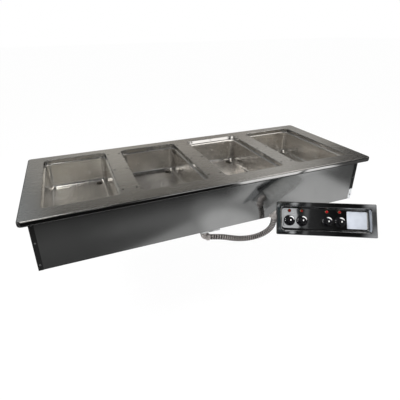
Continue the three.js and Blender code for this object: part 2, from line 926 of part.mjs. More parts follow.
// The connector's hub face lies at z = 0 with its thread below, and its mouth looks along +X.
function elbow(hubLength, earTurn) {
  const axisHeight = hubLength + elbowBendRadius;
  const lay = (geometry) => geometry.rotateY(quarterTurn).translate(elbowBendRadius, 0, axisHeight);
  const hub = rod(elbowHubRadius, 0, hubLength - elbowHubStep);
  const thread = rod(elbowThreadRadius, -elbowThreadLength, hubLength + elbowSeam);
  const bend = bendTube(elbowTubeRadius).translate(0, 0, hubLength);
  const barrel = lay(rod(elbowBarrelRadius, -elbowSeam, elbowBarrelLength));
  const boreRadius = elbowBore / 2;
  const earHalf = elbowEarWidth / 2;
  const earTop = axisHeight + elbowBarrelRadius + elbowEarHeight;
  const earFoot = axisHeight + (elbowBarrelRadius + boreRadius) / 2;
  const mouth = elbowBendRadius + elbowBarrelLength;
  const ears = [-1, 1].map((side) => {
    const near = elbowEarGap / 2;
    const faces = rectangle(elbowBendRadius, mouth, side * earHalf, side * near);
    const ear = upright(shapeOf(side < 0 ? faces : faces.reverse()), earFoot, earTop);
    const turned = ear.translate(0, 0, -axisHeight).rotateX(degrees(earTurn));
    return turned.translate(0, 0, axisHeight);
  });
  const bores = [
    rod(boreRadius, -elbowThreadLength - overrun, hubLength + elbowSeam),
    bendTube(elbowBendBore / 2).translate(0, 0, hubLength),
    lay(rod(boreRadius, -elbowSeam, elbowBarrelLength + overrun)),
  ];
  return cut(joined(hub, thread, bend, barrel, ...ears), ...bores);
}

function locknut() {
  const outline = circleRing(locknutRadius, 0, 0, roundSegments / 2);
  const hole = circleRing(elbowThreadRadius + locknutClearance, 0, 0, roundSegments);
  return upright(shapeOf(outline, [hole]), 0, locknutThickness);
}

function addCaseElbow() {
  const connector = add(part, "case_elbow", elbow(caseElbowHub, caseElbowEarTurn), castZinc);
  connector.rotation.set(halfTurn, 0, degrees(caseElbowYaw), "ZYX");
  connector.position.set(caseElbowX, caseElbowY, coverBottom - seatGap);
  const nut = add(part, "case_elbow_locknut", locknut(), castZinc);
  nut.position.set(caseElbowX, caseElbowY, coverBottom + coverSheet);
}

// Conduit

// A ribbed tube whose ribs are worked out along the route: the outer rings stand high and low in
// turn, and the bore has a ring for every few ribs.
function flexConduit(route) {
  const rings = conduitRibs * 2;
  const frames = route.computeFrenetFrames(rings, false);
  const ringPoints = (index, radius) => {
    const centre = route.getPointAt(index / rings);
    return Array.from({ length: conduitSides }, (_, side) => {
      const angle = (side / conduitSides) * fullTurn;
      const point = centre.clone().addScaledVector(frames.normals[index], radius * Math.cos(angle));
      return point.addScaledVector(frames.binormals[index], radius * Math.sin(angle));
    });
  };
  const crest = conduitDiameter / 2;
  const outer = Array.from({ length: rings + 1 }, (_, index) =>
    ringPoints(index, index % 2 === 1 ? crest : crest - conduitRibDepth),
  );
  const bore = Array.from({ length: rings / conduitRingsPerBoreRing + 1 }, (_, index) =>
    ringPoints(index * conduitRingsPerBoreRing, conduitBore / 2),
  );
  const loop = [...outer, ...bore.reverse()];
  const triangles = [];
  loop.forEach((_, index) => {
    addBand(triangles, ((index + 1) % loop.length) * conduitSides, index * conduitSides, conduitSides);
  });
  const geometry = new THREE.BufferGeometry();
  const positions = loop.flat().flatMap((point) => point.toArray());
  geometry.setAttribute("position", new THREE.Float32BufferAttribute(positions, 3));
  geometry.setIndex(triangles);
  return geometry;
}

// Control panel, in its own frame: x right, y up, z out of its face, z = 0 at the flange's front

function bezelLine() {
  const corners = [
    at(-recessRun - bezelBendRadius * 2, floorFront),
    at(-recessRun, floorFront),
    at(0, 0),
    at(bezelFlange, 0),
    at(bezelFlange, -bezelTurn),
  ];
  return bentLine(corners, bezelBendRadius, smallBendSteps);
}

function controlBezel() {
  const stations = sheetStations(bezelLine(), bezelSheet);
  const radiusAt = (outside) => (outside > bezelFlange / 2 ? bezelCornerRadius : recessCornerRadius);
  const outer = stationRings(stations, { width: recessWidth, depth: recessHeight }, radiusAt);
  const shaftHole = bushingRadius + shaftHoleClearance;
  const lensHole = lensBodyRadius + lensHoleClearance;
  const rings = [
    ...controlXs.map((x) => circleRing(shaftHole, x, knobY, smallSegments)),
    ...controlXs.map((x) => circleRing(lensHole, x, lensY, smallSegments)),
  ];
  return pressedSolid(outer, rings.map((ring) => [lifted(ring, floorFront), lifted(ring, floorBack)]));
}

function controlBox() {
  const back = boxFace - controlBoxDepth;
  const corners = [
    at(-controlBoxFlange, back + controlBoxSheet),
    at(-controlBoxSheet, back + controlBoxSheet),
    at(-controlBoxSheet, boxFace),
    at(controlBoxFlange, boxFace),
  ];
  const stations = sheetStations(corners, controlBoxSheet);
  const plan = { width: controlBoxWidth, depth: controlBoxHeight, steps: plainCornerSteps };
  const box = pressedSolid(stationRings(stations, plan, () => controlBoxCornerRadius));
  const hole = rod(elbowThreadRadius + locknutClearance, -controlBoxSheet * 2, overrun);
  hole.rotateY(-quarterTurn);
  hole.translate(-controlBoxWidth / 2, panelElbowHeight, panelElbowZ);
  return cut(box, hole);
}

function controlSwitch() {
  const plan = { width: switchWidth, depth: switchHeight, steps: plainCornerSteps };
  const housing = upright(shapeOf(roundedRing(plan, switchBevel)), -switchDepth, 0);
  const bushing = rod(bushingRadius, -bushingLength, bushingLength, smallSegments);
  const boreRadius = shaftRadius + shaftClearance;
  const bore = rod(boreRadius, -shaftReach - overrun, bushingLength + overrun, smallSegments);
  return cut(joined(housing, bushing), bore);
}

// A skirted knob, hollow behind, with a hub bored for the shaft.
function controlKnob() {
  const roof = knobHeight - knobWall;
  const outline = [
    at(shaftRadius + shaftClearance, 0),
    at(knobHubRadius, 0),
    at(knobHubRadius, roof),
    at(knobTopRadius - knobWall, roof),
    at(knobGripRadius - knobWall, knobSkirtHeight - knobWall),
    at(knobRadius - knobWall, knobWall),
    at(knobRadius - knobWall, 0),
    at(knobRadius, 0),
    at(knobRadius, knobSkirtHeight - knobEdgeRadius),
    at(knobRadius - knobEdgeRadius, knobSkirtHeight),
    at(knobGripRadius, knobSkirtHeight),
    at(knobTopRadius, knobHeight - knobEdgeRadius),
    at(knobTopRadius - knobEdgeRadius, knobHeight),
    at(0, knobHeight),
    at(0, knobSocketDepth),
    at(shaftRadius + shaftClearance, knobSocketDepth),
  ];
  return revolved([...outline, outline[0]]);
}

function knobShaft() {
  return rod(shaftRadius, -shaftReach, knobLift + knobSocketDepth + bezelSheet - seatGap, smallSegments);
}

function pilotLens() {
  const domeSteps = Array.from({ length: smallBendSteps }, (_, step) => {
    const angle = ((step + 1) / (smallBendSteps + 1)) * quarterTurn;
    const rimInner = lensRadius - lensRimHeight / 2;
    return at(rimInner * Math.cos(angle), lensRimHeight + lensDome * Math.sin(angle));
  });
  const outline = [
    at(0, -lensBodyLength),
    at(lensBodyRadius, -lensBodyLength),
    at(lensBodyRadius, 0),
    at(lensRadius, 0),
    at(lensRadius, lensRimHeight / 2),
    at(lensRadius - lensRimHeight / 2, lensRimHeight),
    ...domeSteps,
    at(0, lensRimHeight + lensDome),
  ];
  return revolved(outline);
}

function addControls(panel) {
  controlXs.forEach((x, index) => {
    const number = index + 1;
    const unit = add(panel, `switch_${number}`, controlSwitch(), blackPhenolic);
    unit.position.set(x, knobY, floorBack - seatGap);
    const shaft = add(panel, `knob_shaft_${number}`, knobShaft(), steel);
    shaft.position.set(x, knobY, floorBack);
    const knob = add(panel, `knob_${number}`, controlKnob(), blackPhenolic);
    knob.position.set(x, knobY, floorFront + knobLift);
    const lens = add(panel, `pilot_lens_${number}`, pilotLens(), redLens);
    lens.position.set(x, lensY, floorFront + seatGap);
  });
}

function addPanel() {
  const panel = new THREE.Group();
  panel.position.set(panelX, -deckDepth / 2 - panelStandOff, panelZ);
  panel.rotation.set(quarterTurn - degrees(panelTilt), 0, degrees(panelYaw), "ZYX");
  part.add(panel);
  add(panel, "control_bezel", controlBezel(), polished);
  add(panel, "control_box", controlBox(), galvanised);
  const plan = { width: plateWidth, depth: plateHeight, x: plateX, steps: plainCornerSteps };
  const plate = roundedRing(plan, plateCornerRadius);
  add(panel, "instruction_plate", upright(shapeOf(plate), 0, plateThickness), platePaint);
  panel.getObjectByName("instruction_plate").position.z = floorFront + seatGap;
  addControls(panel);
  addPanelElbow(panel);
  return panel;
}

function addPanelElbow(panel) {
  const wallX = -controlBoxWidth / 2;
  const connector = add(panel, "panel_elbow", elbow(panelElbowHub, panelElbowEarTurn), castZinc);
  const turn = degrees(panelElbowTurn);
  const mouth = new THREE.Vector3(0, -Math.cos(turn), -Math.sin(turn));
  const hub = new THREE.Vector3(-1, 0, 0);
  const across = hub.clone().cross(mouth);
  connector.setRotationFromMatrix(new THREE.Matrix4().makeBasis(mouth, across, hub));
  connector.position.set(wallX - seatGap, panelElbowHeight, panelElbowZ);
  const nut = add(panel, "panel_elbow_locknut", locknut(), castZinc);
  nut.rotation.set(0, quarterTurn, 0);
  nut.position.set(wallX + controlBoxSheet + seatGap, panelElbowHeight, panelElbowZ);
}

// The whole

add(part, "top_deck", topDeck(), deckSteel);
add(part, "deck_gasket", deckGasket(), blackRubber);
add(part, "front_panel", foldedWall(frontOuter, 1), steel);
add(part, "rear_panel", foldedWall(rearOuter, -1), steel);
add(part, "left_end_panel", endPanel(-1), steel);
add(part, "right_end_panel", endPanel(1), steel);
add(part, "bottom_panel", bottomPanel(), galvanised);
addRails();
wellCentres.forEach((x, index) => {
  const number = index + 1;
  add(part, `well_pan_${number}`, wellPan(x), panSteel);
  add(part, `heating_element_${number}`, heatingElement(x), sheathed);
  add(part, `element_tray_${number}`, elementTray(x), galvanised);
  add(part, `drain_body_${number}`, drainBody(x), brass);
  add(part, `drain_nut_${number}`, drainNut(x), brass);
});
add(part, "insulation_wrap", insulationWrap(), glassWool);
add(part, "bottom_insulation", bottomInsulation(), glassWool);
add(part, "junction_box", junctionBox(), galvanised);
add(part, "junction_box_cover", junctionBoxCover(), galvanised);
addCaseElbow();
addPanel();
const routePoints = conduitRoute.map((point) => new THREE.Vector3(...point));
const route = new THREE.CatmullRomCurve3(routePoints, false, "centripetal");
add(part, "flex_conduit", flexConduit(route), castZinc);

export default part;
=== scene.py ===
"""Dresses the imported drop-in food well: its deck, wells, case, control panel and conduit."""

import math

import bmesh
import bpy
import numpy as np
from bpy.props import FloatProperty, FloatVectorProperty, IntProperty, PointerProperty
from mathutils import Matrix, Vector
from mathutils.geometry import tessellate_polygon


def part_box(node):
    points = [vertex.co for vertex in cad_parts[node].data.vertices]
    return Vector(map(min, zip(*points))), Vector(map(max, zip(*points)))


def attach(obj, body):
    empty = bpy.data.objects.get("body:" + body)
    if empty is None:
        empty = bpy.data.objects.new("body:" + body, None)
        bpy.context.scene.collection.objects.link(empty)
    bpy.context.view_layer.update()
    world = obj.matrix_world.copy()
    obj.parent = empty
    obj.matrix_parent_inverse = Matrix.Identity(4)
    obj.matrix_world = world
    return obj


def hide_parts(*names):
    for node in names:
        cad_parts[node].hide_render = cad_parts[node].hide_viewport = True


bl_info = {
    "name": "Drop-in Food Well",
    "version": (1, 0, 0),
    "blender": (4, 5, 0),
    "location": "View3D > Sidebar > Food Well",
    "description": "Dresses the food well's packed model and sets its stage",
    "category": "Object",
}

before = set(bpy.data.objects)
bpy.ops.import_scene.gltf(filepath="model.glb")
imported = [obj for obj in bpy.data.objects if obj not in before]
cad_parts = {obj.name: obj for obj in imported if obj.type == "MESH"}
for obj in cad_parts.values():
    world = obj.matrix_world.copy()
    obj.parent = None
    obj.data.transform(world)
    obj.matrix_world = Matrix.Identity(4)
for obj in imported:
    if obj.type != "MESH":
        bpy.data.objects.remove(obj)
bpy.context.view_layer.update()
CASE = "case"
WELLS = range(1, 5)
CONTROLS = range(1, 5)

# How a sheet's grain is drawn out: along X, up and down, or not at all
ALONG = (1.0, 14.0, 14.0)
UPRIGHT = (14.0, 14.0, 1.0)
EVEN = (1.0, 1.0, 1.0)

# Thickness of a printed mark
INK = 0.0001

# Feet of the conduit's elbows: on the cover under the case, and on the control box's left end in
# the panel's own frame
CASE_ELBOW = (-0.073, -0.250, -0.2401)
PANEL_ELBOW = (-0.177, 0.022, -0.055)

# Where the controls stand, in pitches from the first
CONTROL_PLACES = (0, 1, 3, 4)

# Walls and top of the room that the studio's cards make
ROOM_LEFT, ROOM_RIGHT = -6.0, 9.0
ROOM_FRONT, ROOM_REAR = -4.2, 3.6
ROOM_TOP = 4.0


def length(name, description, default, lowest=0.0):
    """A setting in metres."""
    return FloatProperty(
        name=name,
        description=description,
        default=default,
        min=lowest,
        unit="LENGTH",
        subtype="DISTANCE",
        precision=4,
    )


def turn(name, description, degrees):
    """A setting that is an angle."""
    return FloatProperty(
        name=name,
        description=description,
        default=math.radians(degrees),
        unit="ROTATION",
        subtype="ANGLE",
    )


def tint(name, description, default):
    """A setting that is a colour."""
    return FloatVectorProperty(
        name=name,
        description=description,
        default=default,
        size=3,
        min=0.0,
        max=1.0,
        subtype="COLOR",
    )


class DeckSizes(bpy.types.PropertyGroup):
    length: length("Length", "Deck, left to right", 1.632)
    depth: length("Depth", "Deck, front to back", 0.641)
    height: length("Height", "Deck's top above the counter", 0.022)
    sheet: length("Sheet", "Deck's thickness", 0.0015)
    front_margin: length("Front margin", "Deck's front edge to the openings", 0.0773)
    corner: length("Corner radius", "Deck's corners from above", 0.016)
    nose: length("Nose radius", "Roll of the deck's edge", 0.006)
    lip: length("Lip", "Edge's turn under the deck", 0.014)
    lip_bend: length("Lip bend", "Radius between the edge and its lip", 0.0015)
    gasket: length("Gasket", "Thickness under the lip", 0.003)
    band: length("Band", "Flat strip beside each rolled edge", 0.012)
    opening_length: length("Opening length", "One opening, left to right", 0.305)
    opening_depth: length("Opening depth", "One opening, front to back", 0.508)
    pitch: length("Pitch", "Centre of one opening to the next", 0.390)
    opening_corner: length("Opening corner", "Corner radius of the openings", 0.020)
    opening_roll: length("Opening roll", "Roll of the openings' edge", 0.003)
    turn_down: length("Turn down", "Depth of the openings' edge", 0.020)
    stud_inset: length("Stud inset", "Opening's side to its studs", 0.0135)
    stud_end_inset: length("Stud end inset", "Opening's end to its first stud", 0.039)


class WellSizes(bpy.types.PropertyGroup):
    sheet: length("Sheet", "Pan's thickness", 0.0012)
    depth: length("Depth", "Deck's top to the pan's floor", 0.150)
    rim: length("Rim", "Pan's rim past the opening", 0.009)
    shoulder: length("Shoulder", "Pan's wall inside the opening", 0.007)
    draft: length("Draft", "How far the wall leans in", 0.005)
    shoulder_radius: length("Shoulder radius", "Bend under the rim", 0.006)
    floor_radius: length("Floor radius", "Bend between wall and floor", 0.022)
    corner: length("Corner radius", "Pan's upright corners", 0.034)
    drain_hole: length("Drain hole", "Radius in the pan's floor", 0.0131)
    drain_inset: length("Drain inset", "Opening's edge to the drain", 0.052)


class PanelSizes(bpy.types.PropertyGroup):
    x: length("Panel X", "Centre of the panel", 0.418, -2)
    y: length("Panel Y", "Centre of the panel", -0.486, -2)
    z: length("Panel Z", "Centre of the panel", -0.156, -2)
    yaw: turn("Yaw", "Turn about the upright", -26)
    tilt: turn("Tilt", "Lean back of its face", 32)
    width: length("Recess width", "Mouth of the recess", 0.388)
    height: length("Recess height", "Mouth of the recess", 0.103)
    recess: length("Recess depth", "Face to the recess's floor", 0.026)
    run: length("Wall run", "How far the recess's walls lean", 0.0045)
    mouth_corner: length("Mouth corner", "Corner radius of the recess", 0.013)
    flange: length("Flange", "Width round the recess", 0.022)
    flange_turn: length("Flange turn", "Flange's edge turned back", 0.008)
    flange_corner: length("Flange corner", "Outer corner radius", 0.005)
    sheet: length("Sheet", "Panel's thickness", 0.0012)
    bend: length("Bend", "Radius of its folds", 0.0035)
    knob_y: length("Knob height", "Knobs from the panel's middle", -0.010, -1)
    lens_y: length("Lens height", "Lenses from the panel's middle", 0.034, -1)
    first_x: length("First control", "First knob from the middle", -0.1542, -1)
    pitch: length("Pitch", "One knob to the next", 0.055)
    knob_radius: length("Knob radius", "Skirt of a knob", 0.024)
    grip_radius: length("Grip radius", "Foot of a knob's grip", 0.0160)
    top_radius: length("Top radius", "Top of a knob's grip", 0.0147)
    knob_height: length("Knob height", "Skirt's foot to the top", 0.027)
    skirt_height: length("Skirt height", "Thickness of the skirt", 0.006)
    knob_lift: length("Knob lift", "Gap under the skirt", 0.0012)
    lens_radius: length("Lens radius", "Rim of a pilot light", 0.008)
    lens_gap: length("Lens gap", "Gap under a pilot light's rim", 0.0003)
    shaft_hole: length("Shaft hole", "Radius under a knob", 0.0056)
    lens_hole: length("Lens hole", "Radius under a pilot light", 0.0055)


class ConduitSizes(bpy.types.PropertyGroup):
    diameter: length("Diameter", "Over the ribs", 0.027)
    rib_depth: length("Rib depth", "Crest to valley", 0.0022)
    ribs: IntProperty(name="Ribs", description="Turns of the strip", default=38, min=1)
    run: length("Length", "From connector to connector", 0.428)
    elbow_tube: length("Elbow tube", "Radius of an elbow's bent pipe", 0.013)
    elbow_hub: length("Elbow hub", "Radius at an elbow's foot", 0.0165)
    elbow_barrel: length("Elbow barrel", "Radius at an elbow's mouth", 0.0165)
    elbow_bend: length("Elbow bend", "Radius of an elbow's centreline", 0.015)
    case_hub: length("Case elbow's hub", "Its length below the cover", 0.022)
    case_yaw: turn("Case elbow's turn", "Turn about the upright", -20)
    case_ears: turn("Case elbow's ears", "Turn about its mouth", 90)
    panel_hub: length("Panel elbow's hub", "Its length beside the box", 0.021)
    panel_dip: turn("Panel elbow's dip", "Mouth's dip behind the panel", 46.5)
    panel_ears: turn("Panel elbow's ears", "Turn about its mouth", 0)


class FinishColours(bpy.types.PropertyGroup):
    deck: tint("Deck", "Polished sheet of the deck", (0.56, 0.555, 0.545))
    well: tint("Wells", "Drawn sheet of the pans", (0.82, 0.80, 0.77))
    case: tint("Case", "Dull sheet of the case", (0.55, 0.555, 0.55))
    zinc: tint("Zinc", "Coated sheet and castings", (0.74, 0.75, 0.75))
    panel: tint("Panel", "Mirror sheet of the control panel", (0.52, 0.53, 0.54))
    strip: tint("Conduit", "Wound strip of the conduit", (0.64, 0.595, 0.575))
    knob: tint("Knobs", "Black moulded knobs", (0.006, 0.006, 0.007))
    print: tint("Print", "White marks on the knobs", (0.86, 0.86, 0.86))
    lens: tint("Lenses", "Red pilot lenses", (0.46, 0.008, 0.012))
    rim: tint("Lens rims", "Pale brass rims of the lenses", (0.72, 0.60, 0.38))
    plate: tint("Plate", "Bare painted plate", (0.55, 0.585, 0.65))
    rubber: tint("Rubber", "Seal under the deck", (0.012, 0.012, 0.012))
    brass: tint("Drain", "Body of a drain", (0.20, 0.185, 0.165))
    wool: tint("Wool", "Insulation in the case", (0.62, 0.52, 0.20))


class CameraSizes(bpy.types.PropertyGroup):
    place: FloatVectorProperty(
        name="Place",
        description="Where the camera stands",
        default=(-0.58543, -1.40364, 0.62814),
        subtype="TRANSLATION",
        unit="LENGTH",
    )
    turn: FloatVectorProperty(
        name="Turn",
        description="How the camera is turned",
        default=(1.156579, 0.015365, -0.356155),
        subtype="EULER",
    )
    lens: FloatProperty(name="Lens", description="Focal length", default=28.76, unit="CAMERA")
    shift_x: FloatProperty(name="Shift X", description="Sideways shift", default=0.04)
    shift_y: FloatProperty(name="Shift Y", description="Upward shift", default=-0.0765)
    floor: length("Floor", "Floor's height below the counter", -0.9, -3)


class FoodWellSettings(bpy.types.PropertyGroup):
    deck: PointerProperty(type=DeckSizes)
    well: PointerProperty(type=WellSizes)
    panel: PointerProperty(type=PanelSizes)
    conduit: PointerProperty(type=ConduitSizes)
    colours: PointerProperty(type=FinishColours)
    camera: PointerProperty(type=CameraSizes)


# Points of the conduit's middle line, from the case's elbow to the panel's
CONDUIT_ROUTE = (
    (-0.0454, -0.2600, -0.2771),
    (-0.0328, -0.2646, -0.2771),
    (-0.0201, -0.2693, -0.2771),
    (-0.0070, -0.2736, -0.2778),
    (0.0080, -0.2774, -0.2797),
    (0.0250, -0.2799, -0.2839),
    (0.0430, -0.2805, -0.2908),
    (0.0600, -0.2790, -0.2984),
    (0.0760, -0.2767, -0.3059),
    (0.0930, -0.2740, -0.3134),
    (0.1110, -0.2715, -0.3206),
    (0.1285, -0.2699, -0.3262),
    (0.1465, -0.2697, -0.3299),
    (0.1650, -0.2716, -0.3312),
    (0.1830, -0.2752, -0.3296),
    (0.2000, -0.2802, -0.3253),
    (0.2160, -0.2865, -0.3180),
    (0.2300, -0.2935, -0.3081),
    (0.2415, -0.3006, -0.2960),
    (0.2505, -0.3078, -0.2816),
    (0.2568, -0.3146, -0.2653),
    (0.2594, -0.3206, -0.2484),
    (0.2597, -0.3248, -0.2326),
    (0.2583, -0.3276, -0.2210),
    (0.2568, -0.3306, -0.2079),
    (0.2553, -0.3336, -0.1949),
)


# Shader values


class Value:
    """A shader socket that Python arithmetic can be written on: each sum adds a Math node."""

    def __init__(self, finish, socket):
        self.finish = finish
        self.socket = socket

    def maths(self, operation, *values):
        sockets = dict(enumerate(values))
        return self.finish.node("ShaderNodeMath", {"operation": operation}, sockets)

    def __add__(self, other):
        return self.maths("ADD", self, other)

    def __sub__(self, other):
        return self.maths("SUBTRACT", self, other)

    def __rsub__(self, other):
        return self.maths("SUBTRACT", other, self)

    def __mul__(self, other):
        return self.maths("MULTIPLY", self, other)

    def __truediv__(self, other):
        return self.maths("DIVIDE", self, other)

    __radd__ = __add__
    __rmul__ = __mul__

    def larger(self, other):
        return self.maths("MAXIMUM", self, other)

    def size(self):
        return self.maths("ABSOLUTE", self)

    def between(self, low, high):
        """0 below low, 1 above high, and a smooth rise from one to the other."""
        settings = {"interpolation_type": "SMOOTHSTEP"}
        sockets = {"Value": self, "From Min": low, "From Max": high}
        return self.finish.node("ShaderNodeMapRange", settings, sockets)


class Finish:
    """A node tree under construction."""

    def __init__(self, tree):
        self.tree = tree

    def node(self, kind, settings=None, sockets=None, out=0):
        made = self.tree.nodes.new(kind)
        for name, value in (settings or {}).items():
            if name == "stops":
                self.set_stops(made.color_ramp, value)
            else:
                setattr(made, name, value)
        for name, value in (sockets or {}).items():
            self.plug(made.inputs[name], value)
        return Value(self, made.outputs[out])

    def set_stops(self, ramp, stops):
        while len(ramp.elements) < len(stops):
            ramp.elements.new(1.0)
        for element, (position, colour) in zip(ramp.elements, stops):
            element.position = position
            element.color = (*colour, 1.0)

    def plug(self, socket, value):
        if isinstance(value, Value):
            self.tree.links.new(value.socket, socket)
        else:
            socket.default_value = value

    def place(self):
        return self.node("ShaderNodeTexCoord", out="Object")

    def axes(self, vector):
        split = self.node("ShaderNodeSeparateXYZ", sockets={"Vector": vector}).socket.node
        return [Value(self, output) for output in split.outputs]

    def stretched(self, vector, scale):
        return self.node("ShaderNodeMapping", sockets={"Vector": vector, "Scale": scale})

    def noise(self, vector, scale, detail=3.0):
        sockets = {"Vector": vector, "Scale": scale, "Detail": detail}
        return self.node("ShaderNodeTexNoise", sockets=sockets)

    def blend(self, factor, first, second):
        settings = {"data_type": "RGBA"}
        sockets = {0: factor, 6: first, 7: second}
        return self.node("ShaderNodeMix", settings, sockets, out=2)

    def bump(self, height, strength, distance):
        sockets = {"Height": height, "Strength": strength, "Distance": distance}
        return self.node("ShaderNodeBump", sockets=sockets)


class Surface(Finish):
    """A material whose Principled shader is filled in by name."""

    def __init__(self, name):
        self.material = bpy.data.materials.new(name)
        self.material.use_nodes = True
        super().__init__(self.material.node_tree)
        self.shader = self.tree.nodes["Principled BSDF"]

    def fill(self, **values):
        for name, value in values.items():
            self.plug(self.shader.inputs[name.replace("_", " ")], value)
        return self.material


def shade(colour, share):
    """The colour with each channel times a share, and an alpha of one."""
    return (*(min(channel * share, 1.0) for channel in colour), 1.0)


# Materials


def rolled_steel(name, colour, roughness, stretch=EVEN, edge=None):
    """Sheet with a fine grain one way, slow clouds in its polish and a few wiped patches. Below
    the height given as edge, the polish is finer."""
    surface = Surface(name)
    place = surface.place()
    grain = surface.noise(surface.stretched(place, stretch), 220.0, 2.0)
    cloud = surface.noise(place, 5.0, 2.0)
    wiped = surface.noise(surface.stretched(place, (2.0, 6.0, 6.0)), 3.0, 3.0)
    colour_mix = surface.blend(cloud.between(0.3, 0.7), shade(colour, 0.95), shade(colour, 1.05))
    rough = roughness + (grain - 0.5) * 0.03 + (wiped - 0.5) * 0.04
    if edge:
        height = surface.axes(place)[2]
        rough = rough * (0.35 + height.between(edge - 0.002, edge) * 0.65)
    normal = surface.bump(grain, 0.1, 0.000001)
    return surface.fill(Base_Color=colour_mix, Metallic=1.0, Roughness=rough, Normal=normal)


def lapped_steel(name, colour, front, foot):
    """End sheet: its lap on the case's front is painted black above a ragged line at foot, as
    painted shade, and pale below it, as painted light."""
    surface = Surface(name)
    place = surface.place()
    _, y, z = surface.axes(place)
    ragged = surface.noise(place, 60.0, 3.0)
    lap = 1.0 - (y - front).between(0.002, 0.004)
    # Mask of the painted shade: black above the ragged line, painted light below it
    black = (z + (ragged - 0.5) * 0.02 - foot).between(-0.003, 0.003)
    sheet = surface.blend(ragged.between(0.3, 0.7), shade(colour, 0.94), shade(colour, 1.06))
    # The lap's painted tones: pale for painted light, black for painted shade
    painted_light_tone, painted_shade_tone = (0.86, 0.88, 0.90, 1.0), (0.01, 0.01, 0.01, 1.0)
    coat = surface.blend(black, painted_light_tone, painted_shade_tone)
    colour_mix = surface.blend(lap, sheet, coat)
    return surface.fill(Base_Color=colour_mix, Metallic=1.0 - lap, Roughness=0.16 + ragged * 0.1)


def drawn_steel(name, colour):
    """Pan sheet, polished down its walls, with clouded and slightly uneven faces."""
    surface = Surface(name)
    place = surface.place()
    grain = surface.noise(surface.stretched(place, (6.0, 6.0, 0.6)), 40.0, 3.0)
    cloud = surface.noise(place, 7.0, 2.0)
    swirl = surface.noise(surface.stretched(place, (1.0, 0.25, 1.0)), 60.0, 2.0)
    colour_mix = surface.blend(cloud.between(0.3, 0.7), shade(colour, 0.9), shade(colour, 1.06))
    rough = 0.2 + grain * 0.1 + (swirl - 0.5) * 0.06
    normal = surface.bump(grain * 0.5 + cloud, 0.15, 0.00003)
    return surface.fill(Base_Color=colour_mix, Metallic=1.0, Roughness=rough, Normal=normal)


def mirror_steel(name, colour):
    """Panel sheet polished to a mirror, with faint wipe marks and a little waviness."""
    surface = Surface(name)
    place = surface.place()
    wipe = surface.noise(surface.stretched(place, (3.0, 3.0, 12.0)), 20.0, 3.0)
    wave = surface.noise(place, 9.0, 1.0)
    colour_mix = surface.blend(wipe.between(0.35, 0.7), shade(colour, 0.92), shade(colour, 1.05))
    rough = 0.02 + wipe * 0.04
    normal = surface.bump(wave, 0.15, 0.0002)
    return surface.fill(Base_Color=colour_mix, Metallic=1.0, Roughness=rough, Normal=normal)


def zinc_coat(name, colour, roughness=0.42):
    """Zinc coating with its crystal patches in tone and gloss."""
    surface = Surface(name)
    place = surface.place()
    sockets = {"Vector": place, "Scale": 90.0}
    crystal = surface.node("ShaderNodeTexVoronoi", {"feature": "F1"}, sockets, "Color")
    tone = surface.axes(crystal)[0]
    dull = surface.noise(place, 25.0, 4.0)
    colour_mix = surface.blend(tone, shade(colour, 0.84), shade(colour, 1.12))
    rough = roughness + (tone - 0.5) * 0.12 + (dull - 0.5) * 0.1
    normal = surface.bump(dull, 0.2, 0.0001)
    return surface.fill(Base_Color=colour_mix, Metallic=0.6, Roughness=rough, Normal=normal)


def cast_zinc(name, colour):
    """Die casting with a pebbled skin, dark in its pits."""
    surface = Surface(name)
    place = surface.place()
    pits = surface.noise(place, 420.0, 4.0)
    patch = surface.noise(place, 60.0, 2.0)
    colour_mix = surface.blend(pits.between(0.35, 0.65), shade(colour, 0.7), shade(colour, 1.1))
    rough = 0.34 + patch * 0.16
    normal = surface.bump(pits, 0.5, 0.0003)
    return surface.fill(Base_Color=colour_mix, Metallic=0.6, Roughness=rough, Normal=normal)


def wound_strip(name, colour):
    """Conduit strip: painted bright on its crests as a painted highlight and near black in the
    grooves as painted shade, by the piece's own height.
    """
    surface = Surface(name)
    settings = {"attribute_name": "rib_height"}
    height = surface.node("ShaderNodeAttribute", settings, out="Fac")
    dirt = surface.noise(surface.place(), 140.0, 3.0)
    # Painted highlight on the crests and painted shade in the grooves, varied by the dirt noise
    painted_crest_light = height.between(0.78, 0.99) * (0.8 + dirt * 0.4)
    colour_mix = surface.blend(painted_crest_light, shade(colour, 0.04), shade(colour, 1.4))
    rough = 0.36 - height * 0.12 + (dirt - 0.5) * 0.12
    normal = surface.bump(dirt, 0.2, 0.0002)
    return surface.fill(Base_Color=colour_mix, Metallic=0.75, Roughness=rough, Normal=normal)


def moulded_black(name, colour, roughness=0.24):
    """Moulded plastic: a fine pebble, and a polish that comes and goes."""
    surface = Surface(name)
    surface.shader.inputs["Specular IOR Level"].default_value = 0.25
    place = surface.place()
    pebble = surface.noise(place, 900.0, 2.0)
    polish = surface.noise(place, 70.0, 2.0)
    colour_mix = surface.blend(polish.between(0.4, 0.8), shade(colour, 1.0), shade(colour, 1.8))
    rough = roughness + (polish - 0.5) * 0.12
    normal = surface.bump(pebble, 0.15, 0.00004)
    return surface.fill(Base_Color=colour_mix, Roughness=rough, Normal=normal)


def printed_white(name, colour):
    """Printed marks, slightly uneven in cover."""
    surface = Surface(name)
    cover = surface.noise(surface.place(), 500.0, 3.0)
    colour_mix = surface.blend(cover.between(0.3, 0.7), shade(colour, 0.9), shade(colour, 1.0))
    return surface.fill(Base_Color=colour_mix, Roughness=0.45 + cover * 0.1)


